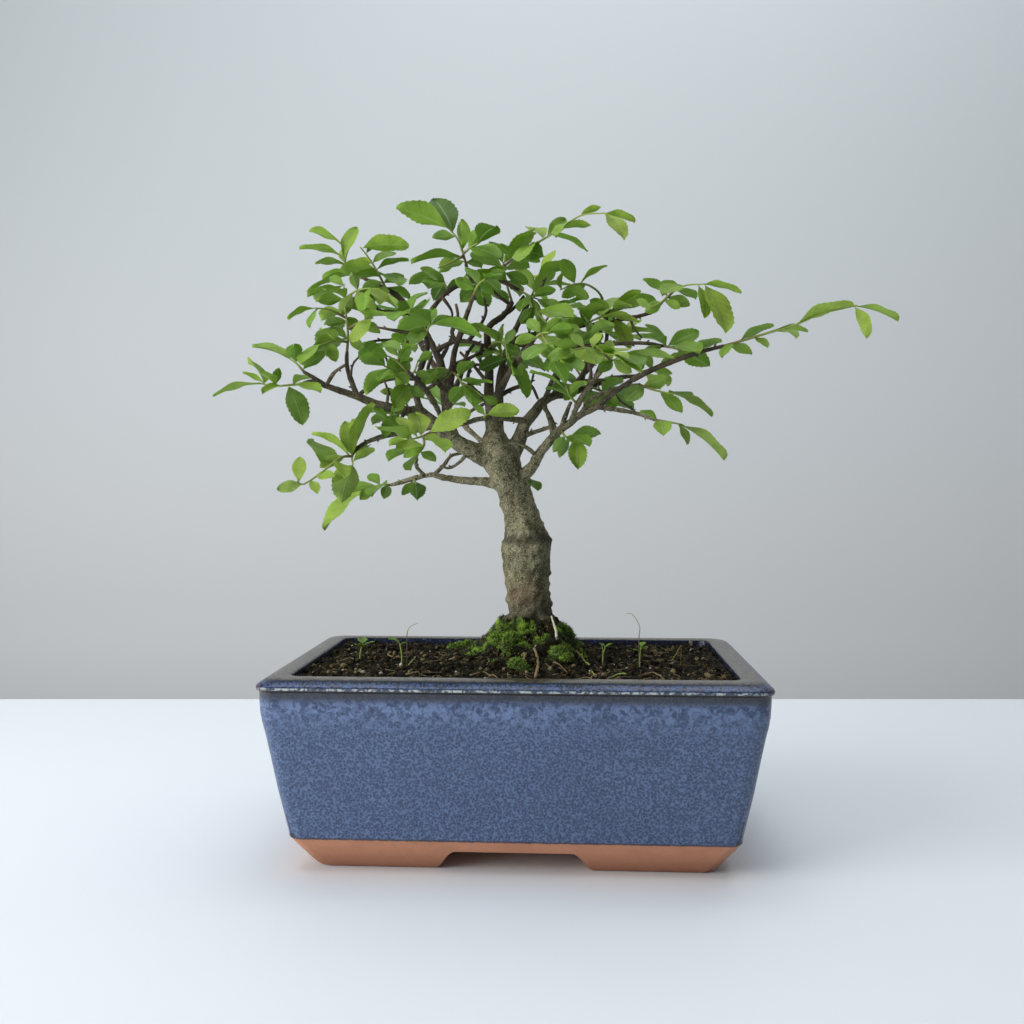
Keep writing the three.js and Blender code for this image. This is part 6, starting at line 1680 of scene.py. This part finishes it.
def stem_finish():
    finish = Finish("green_stem")
    share = finish.map("leaf", "Y")
    streaks = finish.noise(0.0012, detail=3.0)
    colour = finish.mix(share.rise(0.05, 0.45), rgb(104, 92, 52), rgb(134, 156, 66))
    colour = finish.mix(streaks.rise(0.45, 0.7) * 0.5, colour, rgb(150, 120, 82))
    return finish.set(Base_Color=colour, Roughness=0.5 + 0.2 * streaks, Normal=finish.bump(streaks, 0.0002, 0.5))


def shoots_made():
    leaf, stem = leaf_finish(), stem_finish()
    order = 0
    for name, shoot in placed_leaves().items():
        shapes = []
        for route in shoot["stems"]:
            shares = spaced(route, STEM_SPACING)
            radii = STEM_RADIUS * (1.15 - 0.6 * shares)
            shapes.append({**rod(along_curve(route, shares), radii, 7, 0.06, seed=order), "part": 1})
        for blade in shoot["blades"]:
            order += 1
            tone = blade["tone"] + BRIGHT_SHOOTS.get(name, 0.0)
            shapes.append(blade_shape(blade, tone, order, fine=blade["length"] > SMALL_LEAF_LENGTH))
        piece = assembled(f"shoot_{name}", shapes)
        dressed(piece, "leaf", [leaf, stem], f"leaves_{name}", angle=60)


# Moss, seedlings and what lies on the soil.

def tip_model():
    """A moss tip: a small cone, leaning a little."""
    deselect()
    bpy.ops.mesh.primitive_cone_add(
        vertices=4, radius1=1, radius2=0, depth=2, end_fill_type="NGON", location=(0, 0, 1),
    )
    tip = fixed(bpy.context.object)
    for vertex in tip.data.vertices:
        if vertex.co.z > 1:
            vertex.co.x += 0.5
    return model_of(tip)


TIP = tip_model()


def tip_shape(foot, heading, length, width, tone, turn):
    """A moss tip at a foot, growing along a heading."""
    points, faces = TIP
    up = unit(heading)
    side = unit(np.cross(up, [math.cos(turn), math.sin(turn), 0.2]))
    other = np.cross(up, side)
    body = (
        foot + np.outer(points[:, 0] * width, side) + np.outer(points[:, 1] * width, other)
        + np.outer(points[:, 2] / 2 * length, up)
    )
    leaf_map = np.column_stack([np.full(len(points), 0.5), points[:, 2] / 2])
    return shape_of(body, faces, leaf_map, tone)


def cushion_shapes(x, y, radius, rng):
    """A moss cushion: a lumpy dome covered with tips."""
    deselect()
    bpy.ops.mesh.primitive_ico_sphere_add(subdivisions=3, radius=1)
    points, faces = model_of(bpy.context.object)
    ground = soil_height(x, y)
    centre = np.array([x, y, ground + 0.15 * radius])
    lumpy = np.array([1 + 0.3 * noise.noise(Vector(p * 2.6) + Vector((x, y, 0))) for p in points])
    dome = points * lumpy[:, None] * (radius * 0.93, radius * 0.93, radius * 0.68)
    tone = rng.uniform(0.42, 0.75)
    # The dome sits low on the leaf map so that it is painted dark, as shade under its tips.
    shapes = [shape_of(centre + dome, faces, np.tile([0.5, 0.15], (len(points), 1)), tone)]
    for _ in range(int(26 * radius**1.7)):
        way = unit(rng.normal(size=3))
        if way[2] < -0.15:
            way[2] = -way[2]
        foot = centre + way * (radius * 0.9, radius * 0.9, radius * 0.66)
        heading = way * (1, 1, 1.3) + rng.normal(size=3) * 0.4
        shapes.append(tip_shape(
            foot, heading, rng.uniform(0.8, 2.0), rng.uniform(0.2, 0.34),
            np.clip(tone + rng.normal() * 0.22, 0, 1), rng.uniform(0, FULL_TURN),
        ))
    return shapes


def moss_density(x, y):
    """How much of the ground is under moss: most of the mound's shoulders, in patches."""
    away = math.hypot((x - MOUND_X) / 1.15, (y - MOUND_Y) / 1.25)
    near = smoothstep(away, 7, 10) * (1 - smoothstep(away, 19, 29))
    patches = noise.fractal(Vector((x * 0.11, y * 0.13, 5.0)), 0.8, 2.0, 4)
    return near * (0.06 + 0.94 * smoothstep(patches, -0.22, 0.1))


def moss_cover():
    rng = np.random.default_rng(MOSS_SEED)
    shapes = []
    while len(shapes) < MOSS_TIPS:
        x, y = MOUND_X + rng.normal() * 15, MOUND_Y + rng.normal() * 17
        if abs(y) > 52 or rng.random() > moss_density(x, y):
            continue
        z = crumbly_height(x, y)
        slope_x = soil_height(x - 1, y) - soil_height(x + 1, y)
        slope_y = soil_height(x, y - 1) - soil_height(x, y + 1)
        out = unit(np.array([slope_x, slope_y, 2]))
        tall = 0.9 + 1.4 * max(0.0, noise.noise(Vector((x, y, 0)) * 0.35) + 0.3)
        tone = np.clip(0.26 + 1.3 * noise.noise(Vector((x, y, 3)) * 0.24) + rng.normal() * 0.16, 0, 1)
        shapes.append(tip_shape(
            np.array([x, y, z - 0.15]), out + rng.normal(size=3) * 0.3, tall * rng.uniform(0.8, 1.3),
            rng.uniform(0.2, 0.36), tone, rng.uniform(0, FULL_TURN),
        ))
    return assembled("moss_cover", shapes)


def buried_places(wood, count, rng):
    """Places and outward ways on the wood where the ground and its moss climb over the roots."""
    faces = []
    for face in wood.data.polygons:
        x, y, z = np.array(face.center) / MM - POT_MIDDLE
        away = math.hypot(x - MOUND_X, y - MOUND_Y)
        climb = COVER_HEIGHT + 0.9 * max(0.0, away - TRUNK_REACH) + 3.5 * noise.noise(Vector((x, y, z)) * 0.2)
        if soil_height(x, y) - 1 < z < min(climb, COVER_TOP):
            faces.append(((x, y, z), np.array(face.normal)))
    return [faces[i] for i in rng.integers(0, len(faces), count)]


def mound_cover(wood, moss, crumb):
    """Moss tips and crumbs of soil that lie over the roots at the foot of the trunk."""
    rng = np.random.default_rng(ROOT_COVER_SEED)
    tips, spots = [], []
    for (x, y, z), out in buried_places(wood, ROOT_COVER, rng):
        patch = noise.noise(Vector((x, y, z)) * 0.16)
        if patch < 0.02 + 0.14 * rng.random():
            spots.append((x, y, z, rng.uniform(0.3, 0.8)))
            continue
        tone = np.clip(0.3 + 1.5 * noise.noise(Vector((x, y, z)) * 0.3) + rng.normal() * 0.16, 0, 1)
        tips.append(tip_shape(
            np.array([x, y, z]) - out * 0.2, out * 0.8 + rng.normal(size=3) * 0.35 + (0, 0, 0.5),
            rng.uniform(0.9, 2.1), rng.uniform(0.2, 0.36), tone, rng.uniform(0, FULL_TURN),
        ))
    dressed(assembled("moss_over_roots", tips), "moss", [moss])
    dressed(assembled("crumbs_over_roots", crumb_shapes(crumb_model(), spots, rng)), "soil", [crumb], angle=30)


def moss_finish():
    finish = Finish("living_moss")
    tone, high = finish.map("tone", "X"), finish.map("leaf", "Y")
    patch = finish.noise(0.006, detail=3.0)
    dead = finish.noise(0.0026, detail=4.0, roughness=0.62)
    colour = finish.mix(tone, rgb(34, 40, 14), rgb(126, 166, 38))
    colour = finish.mix(patch.rise(0.5, 0.7) * 0.4, colour, rgb(62, 94, 24))
    colour = finish.mix(high.rise(0.45, 1.0) * tone.rise(0.2, 0.8) * 0.55, colour, rgb(172, 208, 76))
    colour = finish.mix(dead.rise(0.53, 0.62) * 0.72, colour, rgb(36, 30, 16))
    # The feet of the tips and the cushions' domes turn near-black: painted shade between the tips.
    colour = finish.mix(high.rise(0.4, 0.0) * 0.8, colour, rgb(20, 28, 8))
    return finish.set(Base_Color=colour, Roughness=0.6 + 0.25 * patch, Normal=finish.bump(patch, 0.0004, 0.5))


def moss_made():
    finish = moss_finish()
    rng = np.random.default_rng(CUSHION_SEED)
    for name, cushions in MOSS.items():
        shapes = [shape for x, y, radius in cushions for shape in cushion_shapes(x, y, radius, rng)]
        dressed(assembled(f"{name}_cushion", shapes), "moss", [finish], name)
    dressed(moss_cover(), "moss", [finish])
    return finish


def seedlings_made(leaf, stem):
    order = 900
    for name, weed in SEEDLINGS.items():
        x, y = weed["foot"]
        level = soil_height(x, y)
        lean_x, lean_y = weed["lean"]
        route = np.array([
            (x, y, level - 4), (x, y, level + 0.4 * weed["height"]),
            (x + lean_x, y + lean_y, level + weed["height"]),
        ])
        shares = np.linspace(0, 1, 12)
        shapes = [{**rod(along_curve(route, shares), 0.42 - 0.14 * shares, 7, 0.05, seed=order), "part": 1}]
        for heading, share, length, width in weed["leaves"]:
            order += 1
            base = along_curve(route, [0.5 + share / 2])[0]
            angle = math.radians(heading)
            along = unit(np.array([math.cos(angle), math.sin(angle), 0.35]))
            blade = {
                "base": base, "tip": base + along * length, "length": length, "width": width,
                "up": level_up(along),
            }
            shapes.append(blade_shape(blade, 0.55, order, fine=True))
        piece = assembled(f"{name}_plant", shapes)
        dressed(piece, "seedling", [leaf, stem], name, angle=60)


def on_soil(column, row):
    """The point of the ground that is seen in a column and row."""
    near, far = seen(column, row, -60), seen(column, row, 53)
    for share in np.linspace(0, 1, 600):
        point = near + (far - near) * share
        if point[2] < soil_height(point[0], point[1]):
            return point
    return far


def laid(marks, lift):
    """A route on the ground through columns and rows, with nine points from one to the next."""
    places = np.array([on_soil(*mark) for mark in marks])
    points = along_curve(places, np.linspace(0, 1, 9 * (len(marks) - 1) + 1))
    for point in points:
        point[2] = max(soil_height(point[0], point[1]), crumbly_height(point[0], point[1])) + lift
    return points


def lying_on_soil(marks, lift):
    """Spots of x, y, z and size for stones or grains, each lifted by a share of its size."""
    spots = []
    for column, row, size in marks:
        x, y, _ = on_soil(column, row)
        spots.append((x, y, crumbly_height(x, y) + lift * size, size))
    return spots


def litter_made(stem):
    """Dry roots, runners, a pale splinter, white grains and pebbles on the ground."""
    dry = Finish("dry_root")
    streak = dry.noise(0.001, detail=3.0)
    dry.set(
        Base_Color=dry.mix(streak, rgb(98, 82, 56), rgb(158, 138, 102)), Roughness=0.75 + 0.15 * streak,
        Normal=dry.bump(streak, 0.0002, 0.6),
    )
    shapes = [tapered(laid(marks, 0.3), 0.42, 0.2, 6, 0.12, 700 + at) for at, marks in enumerate(DRY_ROOTS)]
    shapes += [tapered(laid(marks, 0.7), 0.45, 0.7, 8, 0.25, 740 + at) for at, marks in enumerate(BARE_ROOTS)]
    rng = np.random.default_rng(LITTER_SEED)
    for at in range(FIBRES):
        x, y = rng.uniform(-85, 85), rng.uniform(-51, 51)
        heading = rng.uniform(0, FULL_TURN)
        length = 2 + 9 * rng.random() ** 2
        run = []
        for share in np.linspace(-0.5, 0.5, 7):
            px = np.clip(x + math.cos(heading + share) * share * length, -88, 88)
            py = np.clip(y + math.sin(heading + share) * share * length, -53, 53)
            run.append((px, py, crumbly_height(px, py) + 0.15))
        shapes.append(tapered(run, 0.2, 0.08, 4, 0.1, 800 + at))
    dressed(assembled("dry_roots", shapes), "soil", [dry])

    runners = [tapered(laid(marks, 0.5), 0.45, 0.3, 6, 0.1, 760 + at) for at, marks in enumerate(GREEN_RUNNERS)]
    for at, marks in enumerate(GRASS_HAIRS):
        foot = on_soil(marks[0][0], HAIR_FOOT_ROW)
        places = np.array([seen(column, row, foot[1]) for column, row in marks])
        run = along_curve(places, np.linspace(0, 1, 16))
        ground = np.array([run[0][0], run[0][1], soil_height(run[0][0], run[0][1]) - 1])
        run = np.vstack([ground, run])
        runners.append(tapered(run, 0.2, 0.11, 5, 0, 780 + at))
    dressed(assembled("runners_and_hairs", runners), "seedling", [stem])

    pale = Finish("pale_splinter")
    streak = pale.noise(0.0008, detail=2.0)
    pale.set(Base_Color=pale.mix(streak, rgb(196, 186, 160), rgb(232, 226, 208)), Roughness=0.6 + 0.2 * streak)
    points = along_curve(route_points(PALE_SPLINTER), np.linspace(0, 1, 22))
    splinter = tapered(points, 0.35, 0.6, 6, 0.15, 3)
    dressed(assembled("pale_splinter", [splinter]), "bark", [pale])

    grain = Finish("white_grain")
    pits = grain.noise(0.0005, detail=3.0)
    grain.set(
        Base_Color=grain.mix(pits.rise(0.35, 0.6), rgb(176, 170, 158), rgb(232, 230, 222)),
        Roughness=0.8 + 0.1 * pits, Normal=grain.bump(pits, 0.0003, 0.8),
    )
    spots = lying_on_soil(WHITE_GRAINS, 0.3)
    for _ in range(LOOSE_GRAINS):
        x, y = rng.uniform(-84, 84), rng.uniform(-50, 50)
        size = rng.uniform(0.3, 0.6)
        spots.append((x, y, crumbly_height(x, y) + 0.2 * size, size))
    dressed(assembled("white_grains", crumb_shapes(crumb_model(), spots, rng)), "soil", [grain], angle=25)

    stone = Finish("grey_pebble")
    specks = stone.noise(0.0006, detail=3.0)
    stone.set(
        Base_Color=stone.mix(specks, rgb(104, 98, 92), rgb(150, 144, 136)), Roughness=0.55 + 0.2 * specks,
        Normal=stone.bump(specks, 0.0002, 0.5),
    )
    spots = lying_on_soil(PEBBLES, 0.4)
    dressed(assembled("pebbles", crumb_shapes(crumb_model(), spots, rng)), "soil", [stone])


# The surroundings. A lamp's size is in metres and its power in watts; the rest is in mm.

def surroundings():
    """A pale table with a grey wall behind it, and soft light from the left."""
    deselect()
    table_length, table_depth, table_thickness = 5000, 3000, 40
    table_back, table_turn = 299.7, math.radians(3.18)
    bpy.ops.mesh.primitive_cube_add(
        size=1, location=in_frame((0, table_back - table_depth / 2, -table_thickness / 2)),
        rotation=(0, 0, table_turn),
    )
    table = bpy.context.object
    table.name = "pale_table"
    table.scale = (table_length * MM, table_depth * MM, table_thickness * MM)
    fixed(table)
    edit_all()
    bpy.ops.mesh.bevel(offset=0.0015, segments=3, affect="EDGES")
    end_edit()
    paper = Finish("pale_table_top")
    cloud = paper.noise(0.6, detail=2.0)
    paper.set(Base_Color=paper.mix(cloud, rgb(226, 233, 240), rgb(232, 239, 245)), Roughness=0.55 + 0.05 * cloud)
    table.data.materials.append(paper.material)

    wall_length, wall_height, wall_back, wall_middle = 8000, 5000, 900, 600
    deselect()
    bpy.ops.mesh.primitive_plane_add(
        size=1, location=in_frame((0, wall_back, wall_middle)), rotation=(math.pi / 2, 0, 0),
    )
    wall = bpy.context.object
    wall.name = "grey_wall"
    wall.scale = (wall_length * MM, wall_height * MM, 1)
    fixed(wall)
    plaster = Finish("grey_plaster")
    cloud = plaster.noise(0.9, detail=2.0)
    low_wall = plaster.mix(cloud, rgb(228, 232, 234), rgb(236, 239, 241))
    high_wall = plaster.mix(cloud, rgb(196, 202, 206), rgb(204, 210, 213))
    shade = (plaster.height() + 0.2 * cloud).rise(-0.1, 0.9)
    plaster.set(Base_Color=plaster.mix(shade, low_wall, high_wall), Roughness=0.8 + 0.05 * cloud)
    wall.data.materials.append(plaster.material)

    def lamp(name, place, target, width, height, power, colour):
        data = bpy.data.lights.new(name, "AREA")
        data.shape, data.size, data.size_y, data.energy, data.color = "RECTANGLE", width, height, power, colour
        light = bpy.data.objects.new(name, data)
        light.location = in_frame(place)
        aim = Vector(in_frame(target)) - light.location
        light.rotation_euler = aim.to_track_quat("-Z", "Y").to_euler()
        bpy.context.scene.collection.objects.link(light)

    lamp("window_light", (-950, -560, 400), (0, 0, 100), 0.8, 0.7, 12.5, (1.0, 0.99, 0.97))
    lamp("wall_light", (300, 350, 1300), (100, 900, 200), 1.0, 0.5, 3.6, (0.98, 0.99, 1.0))
    lamp("top_light", (-100, -100, 1500), (0, 0, 150), 1.2, 1.2, 11.0, (0.98, 0.99, 1.0))
    world = bpy.data.worlds.new("room")
    world.use_nodes = True
    background = world.node_tree.nodes["Background"].inputs
    background["Color"].default_value = (0.86, 0.90, 0.94, 1)
    background["Strength"].default_value = 0.165
    bpy.context.scene.world = world
    bpy.context.scene.view_settings.view_transform = "Standard"


pot_made()
mesh_finish = screen_finish()
for node in ("drain_screen_left", "drain_screen_right"):
    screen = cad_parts[node]
    screen.material_slots[0].material = mesh_finish.material

dressed(soil_made(), "soil", [soil_finish()], "soil")
crumb = crumb_finish()
dressed(soil_crumbs(), "soil", [crumb], angle=30)
routes = wood_routes()
bark = bark_finish()
thick = dressed(thick_wood(routes), "bark", [bark], "trunk_and_branches")
dressed(thin_wood(routes), "bark", [bark], "trunk_and_branches")
shoots_made()
moss = moss_made()
mound_cover(thick, moss, crumb)
green = stem_finish()
seedlings_made(leaf_finish(), green)
litter_made(green)
surroundings()
